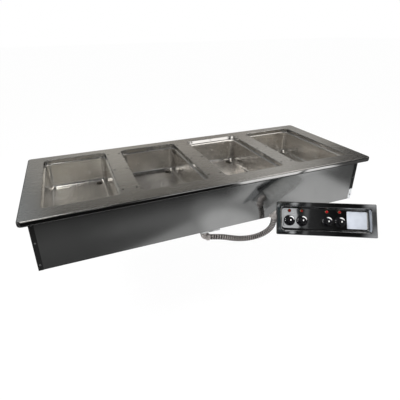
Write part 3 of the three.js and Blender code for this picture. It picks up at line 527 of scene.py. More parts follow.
def jewel_red(name, colour):
    """A red lens whose colour is painted darker toward its rim and lighter in its middle, as
    painted light gathered there, with a faint glow.
    """
    surface = Surface(name)
    settings = {"attribute_name": "from_middle"}
    outward = surface.node("ShaderNodeAttribute", settings, out="Fac")
    # Painted light: the lens's colour brightens toward its middle
    glow = 1.0 - outward.between(0.1, 1.0)
    cloud = surface.noise(surface.place(), 400.0, 2.0)
    colour_mix = surface.blend(glow, shade(colour, 0.35), shade(colour, 1.0))
    surface.shader.inputs["Coat Weight"].default_value = 0.5
    surface.shader.inputs["Emission Strength"].default_value = 0.1
    return surface.fill(
        Base_Color=colour_mix, Roughness=0.08 + cloud * 0.08, Emission_Color=colour_mix
    )


def painted_plate(name, colour):
    """A pale enamelled plate, bare, with faint clouds and an orange-peel skin."""
    surface = Surface(name)
    place = surface.place()
    cloud = surface.noise(place, 30.0, 3.0)
    peel = surface.noise(place, 700.0, 2.0)
    colour_mix = surface.blend(cloud.between(0.3, 0.7), shade(colour, 0.93), shade(colour, 1.04))
    normal = surface.bump(peel, 0.1, 0.0001)
    return surface.fill(Base_Color=colour_mix, Roughness=0.38 + cloud * 0.1, Normal=normal)


def black_rubber(name, colour):
    """Matt rubber with a fine grain, dusty in patches."""
    surface = Surface(name)
    place = surface.place()
    grain = surface.noise(place, 600.0, 3.0)
    dust = surface.noise(place, 30.0, 3.0)
    colour_mix = surface.blend(dust.between(0.45, 0.9), shade(colour, 1.0), shade(colour, 3.0))
    normal = surface.bump(grain, 0.3, 0.0002)
    return surface.fill(Base_Color=colour_mix, Roughness=0.75 + grain * 0.15, Normal=normal)


def glass_wool(name, colour):
    """Matted fibres: long fine noise two ways, over a soft lumpy bed."""
    surface = Surface(name)
    place = surface.place()
    first = surface.noise(surface.stretched(place, (1.0, 9.0, 9.0)), 60.0, 5.0)
    second = surface.noise(surface.stretched(place, (9.0, 1.0, 4.0)), 60.0, 5.0)
    fibre = first.larger(second)
    lump = surface.noise(place, 25.0, 3.0)
    colour_mix = surface.blend(fibre.between(0.4, 0.8), shade(colour, 0.65), shade(colour, 1.15))
    normal = surface.bump(fibre + lump, 0.8, 0.002)
    return surface.fill(Base_Color=colour_mix, Roughness=0.95, Normal=normal)


def heater_sheath(name):
    """Heat-tinted tube: brown and blue patches over dull nickel steel."""
    surface = Surface(name)
    place = surface.place()
    heat = surface.noise(place, 18.0, 3.0)
    scale = surface.noise(place, 300.0, 3.0)
    stops = [(0.3, (0.10, 0.085, 0.07)), (0.5, (0.16, 0.12, 0.08)), (0.7, (0.10, 0.11, 0.14))]
    tinted = surface.node("ShaderNodeValToRGB", {"stops": stops}, {"Fac": heat})
    normal = surface.bump(scale, 0.3, 0.0002)
    return surface.fill(
        Base_Color=tinted, Metallic=0.8, Roughness=0.45 + scale * 0.15, Normal=normal
    )


# Outlines, as rows of points


def corner_arc(before, corner, after, radius, steps):
    """The points of the arc that rounds one corner: its centre lies on the corner's bisector at
    radius / sin(half the angle), and the arc turns through what the line turns."""
    to_before = before - corner
    to_after = after - corner
    first, second = np.linalg.norm(to_before), np.linalg.norm(to_after)
    half = 0.5 * math.acos(np.dot(to_before, to_after) / (first * second))
    reach = min(radius / math.tan(half), min(first, second) * 0.49)
    middle = to_before / first + to_after / second
    centre = corner + middle / np.linalg.norm(middle) * reach / math.cos(half)
    start = corner + to_before / first * reach - centre
    side = np.sign(to_after[0] * to_before[1] - to_after[1] * to_before[0])
    angles = np.linspace(0.0, side * (math.pi - 2.0 * half), steps + 1)
    cosines, sines = np.cos(angles), np.sin(angles)
    turned = [start[0] * cosines - start[1] * sines, start[0] * sines + start[1] * cosines]
    return np.column_stack(turned) + centre


def bent_line(corners, radii, steps):
    """A line of places with its inner corners rounded, each by its own radius."""
    points = np.array(corners, float)
    bends = [
        corner_arc(points[index], points[index + 1], points[index + 2], radius, steps)
        if radius
        else points[index + 1 : index + 2]
        for index, radius in enumerate(radii)
    ]
    return np.vstack([points[:1], *bends, points[-1:]])


def beside(line, thickness):
    """The line's parallel, one thickness to its right, mitred at each corner."""
    steps = np.diff(line, axis=0)
    steps /= np.linalg.norm(steps, axis=1, keepdims=True)
    normals = np.column_stack([steps[:, 1], -steps[:, 0]])
    before = np.vstack([normals[:1], normals])
    after = np.vstack([normals, normals[-1:]])
    scale = thickness / (1.0 + np.sum(before * after, axis=1, keepdims=True))
    return line + (before + after) * scale


def both_faces(line, thickness):
    """Along the line, and back along its parallel."""
    return np.vstack([line, beside(line, thickness)[::-1]])


def rounded_ring(width, depth, radius, steps, centre=(0.0, 0.0)):
    """A rounded rectangle, counterclockwise: four quarter circles of the same step count."""
    sides = np.array([(1, 1), (-1, 1), (-1, -1), (1, -1)], float)
    angles = (np.arange(4)[:, None] + np.linspace(0.0, 1.0, steps + 1)) * math.pi / 2
    middle = sides * [width / 2 - radius, depth / 2 - radius] + np.array(centre)
    arc = np.stack([np.cos(angles), np.sin(angles)], axis=-1) * radius
    return (middle[:, None, :] + arc).reshape(-1, 2)


def circle(radius, centre, segments):
    """Points at even angles round a centre, counterclockwise."""
    angles = np.linspace(0.0, 2.0 * math.pi, segments, endpoint=False)
    return np.column_stack([np.cos(angles), np.sin(angles)]) * radius + np.array(centre)


def at_height(ring, height):
    """A flat ring's points in space, all at one height."""
    return np.column_stack([ring, np.full(len(ring), height)])


def rings_round(stations, width, depth, radius_at, steps, centre=(0.0, 0.0)):
    """A ring for each station: x is how far it stands outside the rectangle, y is its height."""
    rings = [
        at_height(
            rounded_ring(
                width + 2 * outside,
                depth + 2 * outside,
                max(radius_at(outside), 0.001),
                steps,
                centre,
            ),
            height,
        )
        for outside, height in stations
    ]
    return np.stack(rings)


# Meshes from point grids


class Axes:
    """A local frame: an origin and three unit directions in metres."""

    def __init__(self, origin, x, y, z):
        self.origin = np.array(origin, float)
        self.turn = np.array([x, y, z], float)

    def put(self, points):
        return np.asarray(points) @ self.turn + self.origin

    def shifted(self, x, y, z):
        return Axes(self.put([x, y, z]), *self.turn)


WORLD_AXES = Axes((0, 0, 0), (1, 0, 0), (0, 1, 0), (0, 0, 1))


def grid_faces(rows, columns, first=0):
    """Quads between neighbouring rings of a grid of points, numbered ring by ring."""
    row = np.arange(rows - 1)[:, None]
    column = np.arange(columns)[None, :]
    next_column = (column + 1) % columns
    corners = [
        row * columns + column,
        (row + 1) * columns + column,
        (row + 1) * columns + next_column,
        row * columns + next_column,
    ]
    return np.stack([first + corner for corner in corners], axis=-1).reshape(-1, 4)


def flat_faces(rings, firsts, facing_down):
    """Triangles over a flat outline and its holes."""
    outlines = [[Vector((x, y, 0.0)) for x, y in ring[:, :2]] for ring in rings]
    points = np.vstack([ring[:, :2] for ring in rings])
    numbers = np.concatenate([first + np.arange(len(ring)) for first, ring in zip(firsts, rings)])
    triangles = np.array(tessellate_polygon(outlines))
    a, b, c = (points[triangles[:, corner]] for corner in range(3))
    turn_way = (b[:, 0] - a[:, 0]) * (c[:, 1] - a[:, 1]) - (b[:, 1] - a[:, 1]) * (c[:, 0] - a[:, 0])
    wrong = (turn_way < 0) != facing_down
    triangles[wrong] = triangles[wrong][:, ::-1]
    return numbers[triangles]


def pressed_shell(outer, holes=()):
    """A closed pressing: each chain of rings runs from the upper face's edge to the lower one's,
    and the flat faces between the chains are filled at both ends."""
    chains = [outer, *(hole[:, ::-1] for hole in holes)]
    counts = [chain.shape[0] * chain.shape[1] for chain in chains]
    firsts = np.concatenate([[0], np.cumsum(counts)[:-1]])
    points = np.vstack([chain.reshape(-1, 3) for chain in chains])
    faces = [
        grid_faces(chain.shape[0], chain.shape[1], first).tolist()
        for chain, first in zip(chains, firsts)
    ]
    lower = [
        first + (chain.shape[0] - 1) * chain.shape[1] for chain, first in zip(chains, firsts)
    ]
    faces.append(flat_faces([chain[0] for chain in chains], firsts, False).tolist())
    faces.append(flat_faces([chain[-1] for chain in chains], lower, True).tolist())
    return points, [face for group in faces for face in group]


def turned(outline, segments, flutes=0, flute_share=0.0, flute_rows=()):
    """A turned form: each outline point (radius, height) goes round the axis. On fluted rows the
    radius falls by a share of itself as the cosine of flutes times the angle."""
    outline = np.array(outline, float)
    angles = np.linspace(0.0, 2.0 * math.pi, segments, endpoint=False)
    radii = np.repeat(outline[:, :1], segments, axis=1)
    dips = 1.0 - flute_share * (0.5 + 0.5 * np.cos(flutes * angles))
    rows = list(flute_rows)
    radii[rows] *= dips
    heights = np.repeat(outline[:, 1:], segments, axis=1)
    points = np.stack([radii * np.cos(angles), radii * np.sin(angles), heights], axis=-1)
    return points.reshape(-1, 3), grid_faces(len(outline), segments).tolist()


def tube_frames(line):
    """Two directions square to a line at each of its points. The first is square to Y too."""
    along = np.gradient(line, axis=0)
    along /= np.linalg.norm(along, axis=1, keepdims=True)
    side = np.cross(along, (0.0, 1.0, 0.0))
    side /= np.linalg.norm(side, axis=1, keepdims=True)
    return side, np.cross(side, along)


def tube(line, radii, sides):
    """A tube round a line, closed by a flat cap at each end. radii has a row for each point."""
    side, up = tube_frames(line)
    angles = np.linspace(0.0, 2.0 * math.pi, sides, endpoint=False)
    cosines, sines = np.cos(angles)[None, :, None], np.sin(angles)[None, :, None]
    ring = side[:, None] * cosines + up[:, None] * sines
    points = line[:, None] + ring * radii[:, :, None]
    faces = grid_faces(len(line), sides).tolist()
    last = (len(line) - 1) * sides
    faces.append(list(range(sides)))
    faces.append(list(range(last, last + sides)))
    return points.reshape(-1, 3), faces


def block(x, y, z):
    """A box between three pairs of limits, as eight corners."""
    points = np.array([(a, b, c) for c in z for b in y for a in x], float)
    faces = [
        [0, 2, 3, 1],
        [4, 5, 7, 6],
        [0, 1, 5, 4],
        [2, 6, 7, 3],
        [0, 4, 6, 2],
        [1, 3, 7, 5],
    ]
    return points, faces


def together(*shells):
    """Several shells as one list of points and faces."""
    points, faces, first = [], [], 0
    for shell_points, shell_faces in shells:
        points.append(shell_points)
        faces.extend([[first + corner for corner in face] for face in shell_faces])
        first += len(shell_points)
    return np.vstack(points), faces


def make(name, shell, axes=WORLD_AXES, smooth_degrees=35.0):
    """A mesh object from points and faces, its doubles merged and its normals set outwards."""
    points, faces = shell
    mesh = bpy.data.meshes.new(name)
    mesh.from_pydata(axes.put(points).tolist(), [], faces)
    work = bmesh.new()
    work.from_mesh(mesh)
    bmesh.ops.remove_doubles(work, verts=work.verts, dist=1e-7)
    bmesh.ops.recalc_face_normals(work, faces=work.faces)
    work.to_mesh(mesh)
    work.free()
    mesh.shade_smooth()
    mesh.set_sharp_from_angle(angle=math.radians(smooth_degrees))
    piece = bpy.data.objects.new(name, mesh)
    bpy.context.scene.collection.objects.link(piece)
    return piece


def weigh_normals(piece):
    """Large flat faces keep their own normals beside small bends."""
    weigh = piece.modifiers.new("flat_faces", "WEIGHTED_NORMAL")
    weigh.keep_sharp = True
    return piece


def dress(piece, material, body=CASE, stands_for=()):
    """Gives a piece its material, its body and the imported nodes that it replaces."""
    piece.data.materials.clear()
    piece.data.materials.append(material)
    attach(piece, body)
    if stands_for:
        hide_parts(*stands_for)


def settings():
    """The sizes and colours that the sidebar shows."""
    return bpy.context.scene.food_well


def well_centres():
    """The openings' middles from above, evenly spaced about the deck's middle."""
    deck = settings().deck
    y = -deck.depth / 2 + deck.front_margin + deck.opening_depth / 2
    middle = (WELLS[0] + WELLS[-1]) / 2
    return [((number - middle) * deck.pitch, y) for number in WELLS]


def panel_axes():
    """The control panel's frame: X along it, Y up its face and Z out of its face."""
    panel = settings().panel
    cosine, sine = math.cos(panel.yaw), math.sin(panel.yaw)
    x = np.array([cosine, sine, 0.0])
    z = np.array(
        [sine * math.cos(panel.tilt), -cosine * math.cos(panel.tilt), math.sin(panel.tilt)]
    )
    return Axes((panel.x, panel.y, panel.z), x, np.cross(z, x), z)


def control_places():
    """How far along the panel each knob and its light stand."""
    panel = settings().panel
    return [panel.first_x + place * panel.pitch for place in CONTROL_PLACES]


# Pieces


def conduit_line():
    """Centripetal Catmull-Rom spline through the route: the knots are spaced by the square root
    of each chord, and each span is a cubic Hermite curve."""
    steps_per_span = 12
    route = np.array(CONDUIT_ROUTE)
    points = np.vstack([2 * route[0] - route[1], route, 2 * route[-1] - route[-2]])
    a, b, c, d = points[:-3], points[1:-2], points[2:-1], points[3:]
    gap = [np.linalg.norm(q - p, axis=1)[:, None] ** 0.5 for p, q in ((a, b), (b, c), (c, d))]
    start = ((b - a) / gap[0] - (c - a) / (gap[0] + gap[1]) + (c - b) / gap[1]) * gap[1]
    end = ((c - b) / gap[1] - (d - b) / (gap[1] + gap[2]) + (d - c) / gap[2]) * gap[1]
    t = np.linspace(0.0, 1.0, steps_per_span, endpoint=False)[None, :, None]
    start, end, b, c = start[:, None], end[:, None], b[:, None], c[:, None]
    line = (
        (2 * t**3 - 3 * t**2 + 1) * b
        + (t**3 - 2 * t**2 + t) * start
        + (3 * t**2 - 2 * t**3) * c
        + (t**3 - t**2) * end
    )
    return np.vstack([line.reshape(-1, 3), route[-1:]])


def evenly(line, count):
    """The line's points again, at even distances along it."""
    steps = np.linalg.norm(np.diff(line, axis=0), axis=1)
    along = np.concatenate([[0.0], np.cumsum(steps)])
    wanted = np.linspace(0.0, along[-1], count)
    return np.column_stack([np.interp(wanted, along, line[:, axis]) for axis in range(3)])


def keep_values(piece, name, values):
    """Keeps a number for each point of a mesh, for its material to read."""
    attribute = piece.data.attributes.new(name, "FLOAT", "POINT")
    attribute.data.foreach_set("value", values.reshape(-1).astype(np.float32))


def make_conduit():
    """The wound strip: a tube whose radius follows the strip's turns. Its phase is the distance
    along in turns less the angle round, so the ridge climbs as a screw does. A turn rises
    quickly, keeps level and drops into a narrow groove."""
    conduit = settings().conduit
    sides, steps_per_turn, roundness = 40, 12, 0.55
    line = evenly(conduit_line(), conduit.ribs * steps_per_turn + 1)
    turns = np.linspace(0.0, conduit.ribs, len(line))[:, None]
    round_share = np.linspace(0.0, 1.0, sides, endpoint=False)[None, :]
    phase = (turns - round_share) % 1.0
    crest = np.sin(np.pi * phase) ** roundness
    shell = tube(line, conduit.diameter / 2 - conduit.rib_depth * (1.0 - crest), sides)
    piece = make("conduit_strip", shell, smooth_degrees=50.0)
    keep_values(piece, "rib_height", crest)
    dress(
        piece,
        wound_strip("conduit_strip_finish", settings().colours.strip),
        stands_for=["flex_conduit"],
    )


def deck_shell():
    """The deck as one pressing: rounded-rectangle rings follow its edge's section outside and
    each opening's section inside."""
    deck = settings().deck
    edge = [(-deck.band, deck.height), (0, deck.height), (0, deck.gasket), (-deck.lip, deck.gasket)]
    outer_line = both_faces(bent_line(edge, (deck.nose, deck.lip_bend), 8), deck.sheet)
    outer = rings_round(outer_line, deck.length, deck.depth, lambda far: deck.corner + far, 10)
    rim_top = deck.height - deck.turn_down
    opening = [(deck.band, deck.height), (0, deck.height), (0, rim_top)]
    inner_line = both_faces(bent_line(opening, (deck.opening_roll,), 6), -deck.sheet)
    holes = [
        rings_round(
            inner_line,
            deck.opening_length,
            deck.opening_depth,
            lambda far: deck.opening_corner + far,
            12,
            centre,
        )
        for centre in well_centres()
    ]
    return pressed_shell(outer, holes)


def make_deck():
    """The deck, with a finer polish on all that bends down from its flat top."""
    piece = weigh_normals(make("deck_sheet", deck_shell()))
    edge = settings().deck.height - 0.0005
    finish = rolled_steel("deck_finish", settings().colours.deck, 0.27, ALONG, edge)
    dress(piece, finish, stands_for=["top_deck"])


def pan_shell(centre):
    """A drawn pan: rounded-rectangle rings follow its section from floor bend to rim, both faces,
    and its floor is filled round the drain's hole."""
    deck, well = settings().deck, settings().well
    floor = deck.height - well.depth
    rim_top = deck.height - deck.turn_down
    foot = -well.shoulder - well.draft
    section = [
        (foot - well.floor_radius * 2, floor),
        (foot, floor),
        (-well.shoulder, rim_top),
        (well.rim, rim_top),
    ]
    line = bent_line(section, (well.floor_radius, well.shoulder_radius), 10)[1:]
    outer = rings_round(
        both_faces(line, well.sheet),
        deck.opening_length,
        deck.opening_depth,
        lambda far: well.corner + far,
        12,
        centre,
    )
    drain = (
        centre[0] + deck.opening_length / 2 - well.drain_inset,
        centre[1] + deck.opening_depth / 2 - well.drain_inset,
    )
    ring = circle(well.drain_hole, drain, 40)
    hole = np.stack([at_height(ring, floor), at_height(ring, floor - well.sheet)])
    return pressed_shell(outer, [hole])


def make_wells():
    """The four pans. The two at the ends are brighter copies of the same sheet: painted light."""
    colour = settings().colours.well
    # Shares of the pans' colour: the brighter ones at the ends are painted light
    painted_light_shares = (1.16, 1.0, 1.0, 1.1)
    for number, centre, share in zip(WELLS, well_centres(), painted_light_shares):
        finish = drawn_steel(f"well_finish_{number}", shade(colour, share)[:3])
        piece = weigh_normals(make(f"well_liner_{number}", pan_shell(centre)))
        dress(piece, finish, stands_for=[f"well_pan_{number}"])


def bezel_shell():
    """The control panel's pressing: rings follow its section from the recess's floor up the
    wall, over the flange and back at its edge, and the floor is filled round its holes."""
    panel = settings().panel
    section = [
        (-panel.run - panel.bend * 2, -panel.recess),
        (-panel.run, -panel.recess),
        (0, 0),
        (panel.flange, 0),
        (panel.flange, -panel.flange_turn),
    ]
    line = bent_line(section, (panel.bend, panel.bend, panel.bend * 0.8), 7)
    outer = rings_round(
        both_faces(line, panel.sheet),
        panel.width,
        panel.height,
        lambda far: panel.flange_corner if far > panel.flange / 2 else panel.mouth_corner,
        10,
    )
    rings = [circle(panel.shaft_hole, (x, panel.knob_y), 24) for x in control_places()]
    rings += [circle(panel.lens_hole, (x, panel.lens_y), 24) for x in control_places()]
    back = -panel.recess - panel.sheet
    holes = [np.stack([at_height(ring, -panel.recess), at_height(ring, back)]) for ring in rings]
    return pressed_shell(outer, holes)


def make_panel():
    """The control panel's mirror sheet."""
    piece = weigh_normals(make("panel_sheet", bezel_shell(), panel_axes()))
    finish = mirror_steel("panel_finish", settings().colours.panel)
    dress(piece, finish, stands_for=["control_bezel"])


def knob_shell():
    """A skirted knob, turned, with shallow flutes round its grip and a bore for the shaft."""
    panel = settings().panel
    skirt, grip, crown = panel.knob_radius, panel.grip_radius, panel.top_radius
    step, top = panel.skirt_height, panel.knob_height
    bore, bore_depth = 0.0033, 0.017
    edge, fillet, dish = 0.0012, 0.0008, 0.0008
    outline = [
        (bore, 0),
        (skirt, 0),
        (skirt, step - edge),
        (skirt - edge / 6, step - edge / 2),
        (skirt - edge / 2, step - edge / 6),
        (skirt - edge, step),
        (grip + fillet, step),
        (grip, step + fillet),
        (crown, top - 0.0025),
        (crown - 0.0004, top - 0.0012),
        (crown - 0.0014, top - 0.0003),
        (crown - 0.0028, top),
        (crown - 0.0050, top),
        (crown - 0.0060, top - dish),
        (0, top - dish),
        (0, bore_depth),
        (bore, bore_depth),
        (bore, 0),
    ]
    return turned(outline, 120, flutes=20, flute_share=0.05, flute_rows=(7, 8, 9))


def crescent(start, end, inner, width, height, count=24):
    """A printed mark on a flat ring: between two angles, in degrees, its width swells and falls
    as a half sine."""
    angles = np.radians(np.linspace(start, end, count))
    swell = np.sin(np.linspace(0.08, 0.92, count) * math.pi) ** 0.8
    radii = np.stack([np.full(count, inner), inner + width * swell])
    flat = np.stack([radii * np.cos(angles), radii * np.sin(angles)], axis=-1)
    low = np.concatenate([flat, np.full((2, count, 1), height)], axis=-1)
    high = np.concatenate([flat, np.full((2, count, 1), height + INK)], axis=-1)
    loop = np.stack([low[0], low[1], high[1], high[0]])
    points = loop.transpose(1, 0, 2).reshape(-1, 3)
    faces = grid_faces(count, 4).tolist()
    last = (count - 1) * 4
    return points, faces + [[0, 1, 2, 3], [last + 3, last + 2, last + 1, last]]


def knob_print():
    """The knob's white marks: a crescent at the upper right, short ticks at the left and a
    pointer on top."""
    panel = settings().panel
    skirt, top = panel.skirt_height, panel.knob_height
    inner = panel.grip_radius + 0.0009
    half_tick = 2.2
    ticks = [
        crescent(angle - half_tick, angle + half_tick, inner + 0.002, 0.0026, skirt, 5)
        for angle in (160, 186)
    ]
    pointer = block((-0.0020, 0.0020), (-0.0012, 0.0052), (top - 0.0009, top + INK))
    return together(crescent(0, 92, inner, 0.0058, skirt), *ticks, pointer)


def make_knobs():
    """The four knobs with their marks, each on its own body."""
    panel, colours = settings().panel, settings().colours
    black = moulded_black("knob_finish", colours.knob)
    white = printed_white("knob_print_finish", colours.print)
    for number, x in zip(CONTROLS, control_places()):
        body = f"knob_unit_{number}"
        axes = panel_axes().shifted(x, panel.knob_y, panel.knob_lift - panel.recess)
        knob = make(f"knob_cap_{number}", knob_shell(), axes)
        dress(knob, black, body, [f"knob_{number}"])
        marks = make(f"knob_marks_{number}", knob_print(), axes)
        dress(marks, white, body)


def lens_shells():
    """A pilot light: a turned rim that rolls over, and a lens that bulges as a sine."""
    edge = settings().panel.lens_radius
    bore, seat = edge - 0.0026, 0.0014
    rim = [
        (bore, 0),
        (edge, 0),
        (edge, 0.0012),
        (edge - 0.0003, 0.0020),
        (edge - 0.0009, 0.0024),
        (edge - 0.0016, 0.0022),
        (edge - 0.0019, seat),
        (bore, seat),
        (bore, 0),
    ]
    radius, foot, bulge = edge - 0.0021, 0.0016, 0.0038
    stem, stem_length = 0.005, 0.026
    rise = np.linspace(0.0, math.pi / 2, 10)
    dome = np.column_stack([radius * np.cos(rise), foot + bulge * np.sin(rise)])
    body = [(0, -stem_length), (stem, -stem_length), (stem, 0), (radius, 0)]
    return turned(rim, 48), turned(np.vstack([body, dome]), 48)


def make_lenses():
    """The four pilot lights. The two at the right glow more."""
    panel, colours = settings().panel, settings().colours
    # Each share scales a lens's colour as well as its glow; the brighter colours are painted light
    glows = (0.34, 0.4, 1.0, 0.75)
    pale = rolled_steel("lens_rim_finish", colours.rim, 0.2)
    rim, lens = lens_shells()
    for number, x, glow in zip(CONTROLS, control_places(), glows):
        red = jewel_red(f"lens_finish_{number}", shade(colours.lens, glow)[:3])
        axes = panel_axes().shifted(x, panel.lens_y, panel.lens_gap - panel.recess)
        jewel = make(f"lens_{number}", lens, axes)
        local = (mesh_points(jewel) - axes.origin) @ axes.turn.T
        outward = np.hypot(local[:, 0], local[:, 1]) / panel.lens_radius
        keep_values(jewel, "from_middle", outward)
        dress(jewel, red, stands_for=[f"pilot_lens_{number}"])
        dress(make(f"lens_rim_{number}", rim, axes), pale)


def mesh_points(piece):
    """The places of a mesh's points, one row each."""
    flat = np.empty(len(piece.data.vertices) * 3)
    piece.data.vertices.foreach_get("co", flat)
    return flat.reshape(-1, 3)


def elbow_foot(hub):
    """A connector's foot, turned: the thread below its seat, the hub, and the step to its bend."""
    conduit = settings().conduit
    radius, neck = conduit.elbow_hub, conduit.elbow_tube
    thread, thread_length = 0.0135, 0.0065
    outline = [
        (0, -thread_length),
        (thread, -thread_length),
        (thread, 0),
        (radius, 0),
        (radius, hub - 0.005),
        (radius - 0.001, hub - 0.004),
        (neck + 0.0002, hub - 0.002),
        (neck, hub + 0.001),
        (0, hub + 0.001),
    ]
    return turned(outline, 40)


def elbow_bend(hub):
    """A pipe round a quarter circle, from the hub to the barrel."""
    conduit = settings().conduit
    bend, steps, sides = conduit.elbow_bend, 16, 32
    angles = np.linspace(0.0, math.pi / 2, steps)
    x, z = bend * (1 - np.cos(angles)), hub + bend * np.sin(angles)
    line = np.column_stack([x, np.zeros(steps), z])
    return tube(line, np.full((steps, sides), conduit.elbow_tube), sides)


def elbow_barrel(height):
    """The barrel that takes the conduit's end, turned about X at the bend's height."""
    conduit = settings().conduit
    radius, mouth, throat = conduit.elbow_barrel, 0.0137, 0.0133
    outline = [
        (0, -0.001),
        (radius - 0.001, -0.001),
        (radius, 0.0005),
        (radius, 0.013),
        (radius - 0.001, 0.014),
        (mouth, 0.014),
        (throat, 0.010),
        (0, 0.010),
    ]
    points, faces = turned(outline, 40)
    return points[:, [2, 1, 0]] * [1, 1, -1] + [conduit.elbow_bend, 0, height], faces


def elbow_clamp(height, roll):
    """Two ears on the barrel with a screw through them, rolled about the barrel's axis."""
    conduit = settings().conduit
    bend, top = conduit.elbow_bend, height + conduit.elbow_barrel
    slit, outside = 0.001, 0.0045
    along, upward = (bend + 0.001, bend + 0.013), (height + 0.012, top + 0.007)
    ears = [block(along, (side * slit, side * outside), upward) for side in (-1, 1)]
    head, shank, nut = 0.0034, 0.0016, 0.0032
    outline = [
        (0, -0.0075),
        (head, -0.0075),
        (head, -outside),
        (shank, -outside),
        (shank, outside),
        (nut, outside),
        (nut, 0.0072),
        (nut - 0.001, 0.0078),
        (0, 0.0078),
    ]
    screw, screw_faces = turned(outline, 16)
    screw = screw[:, [0, 2, 1]] * [1, -1, 1] + [bend + 0.007, 0, top + 0.003]
    points, faces = together(*ears, (screw, screw_faces))
    cosine, sine = math.cos(roll), math.sin(roll)
    rolled = np.array([[1, 0, 0], [0, cosine, sine], [0, -sine, cosine]])
    return (points - [0, 0, height]) @ rolled + [0, 0, height], faces


def elbow_shell(hub, roll):
    """An angle connector: its foot, its bend, its barrel and its clamp."""
    height = hub + settings().conduit.elbow_bend
    return together(
        elbow_foot(hub), elbow_bend(hub), elbow_barrel(height), elbow_clamp(height, roll)
    )


def elbow_axes(foot, mouth, hub):
    """A connector's frame: X out of its mouth and Z from its foot to its bend."""
    return Axes(foot, mouth, np.cross(hub, mouth), hub)


def make_elbows():
    """The conduit's two connectors, one under the case and one on the control box."""
    conduit, panel = settings().conduit, panel_axes()
    finish = cast_zinc("elbow_finish", settings().colours.strip)
    mouth = np.array([math.cos(conduit.case_yaw), math.sin(conduit.case_yaw), 0.0])
    axes = elbow_axes(CASE_ELBOW, mouth, np.array([0.0, 0.0, -1.0]))
    piece = make("case_elbow_casting", elbow_shell(conduit.case_hub, conduit.case_ears), axes)
    dress(piece, finish, stands_for=["case_elbow"])
    down, inward = math.cos(conduit.panel_dip), math.sin(conduit.panel_dip)
    mouth = np.array([0.0, -down, -inward]) @ panel.turn
    axes = elbow_axes(panel.put(PANEL_ELBOW), mouth, -panel.turn[0])
    piece = make("panel_elbow_casting", elbow_shell(conduit.panel_hub, conduit.panel_ears), axes)
    dress(piece, finish, stands_for=["panel_elbow"])


def screw_shell(radius, height):
    """A low domed screw head: its profile is a quarter ellipse, with a cross cut shown by a
    sunk middle."""
    rise = np.linspace(0.0, math.pi / 2, 7)
    dome = np.column_stack([radius * np.cos(rise[:-1]), height * np.sin(rise[:-1])])
    outline = np.vstack([[(0, 0)], dome, [(radius * 0.22, height * 0.95), (0, height * 0.55)]])
    return turned(outline, 20)


def front_axes(x, z, surface):
    """A frame on an upright face that looks to the front, with Z out of it."""
    return Axes((x, surface, z), (1, 0, 0), (0, 0, 1), (0, -1, 0))


def make_studs():
    """Stud ends along both sides of the deck's three strips."""
    deck = settings().deck
    finish = black_rubber("stud_finish", settings().colours.rubber)
    middle = well_centres()[0][1]
    reach = deck.opening_depth / 2 - deck.stud_end_inset
    aside = (deck.pitch - deck.opening_length) / 2 - deck.stud_inset
    places = [
        (strip * deck.pitch + side * aside, middle + end * reach)
        for strip in (-1, 0, 1)
        for side in (-1, 1)
        for end in (-1, 0, 1)
    ]
    for number, (x, y) in enumerate(places, 1):
        axes = WORLD_AXES.shifted(x, y, deck.height)
        stud = make(f"deck_stud_{number}", screw_shell(0.0046, 0.0006), axes)
        dress(stud, finish)


def make_lap_screws():
    """Screws down the case's laps."""
    # The screws' zinc is darkened to 0.22: painted shade, as on the laps
    finish = zinc_coat("screw_finish", shade(settings().colours.zinc, 0.22)[:3], 0.3)
    lap_middle = 0.0098
    left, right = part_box("left_end_panel")[0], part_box("right_end_panel")[1]
    places = [
        (x, z)
        for x in (left.x + lap_middle, right.x - lap_middle)
        for z in (-0.022, -0.104, -0.206)
    ]
    for number, (x, z) in enumerate(places, 1):
        head = make(f"lap_screw_{number}", screw_shell(0.0042, 0.0024), front_axes(x, z, left.y))
        dress(head, finish)


def make_bumps():
    """Locating bumps pressed in the openings' rear edges and side edges."""
    deck = settings().deck
    finish = bpy.data.materials["deck_finish"]
    half_x, half_y = deck.opening_length / 2, deck.opening_depth / 2
    z = deck.height - deck.turn_down * 0.5
    points, faces = screw_shell(0.0042, 0.0022)
    rear_bumps = ((-half_x + 0.017, 1.5), (-half_x + 0.031, 1.5), (0, 1), (half_x - 0.028, 1.6))
    for number, (x, y) in zip(WELLS, well_centres()):
        shells = []
        for along, size in rear_bumps:
            shells.append((front_axes(x + along, z, y + half_y).put(points * size), faces))
        for side in (-1, 1):
            wall = Axes((x + side * half_x, y, z), (0, side, 0), (0, 0, 1), (-side, 0, 0))
            shells.append((wall.put(points), faces))
        dress(make(f"opening_bumps_{number}", together(*shells)), finish)


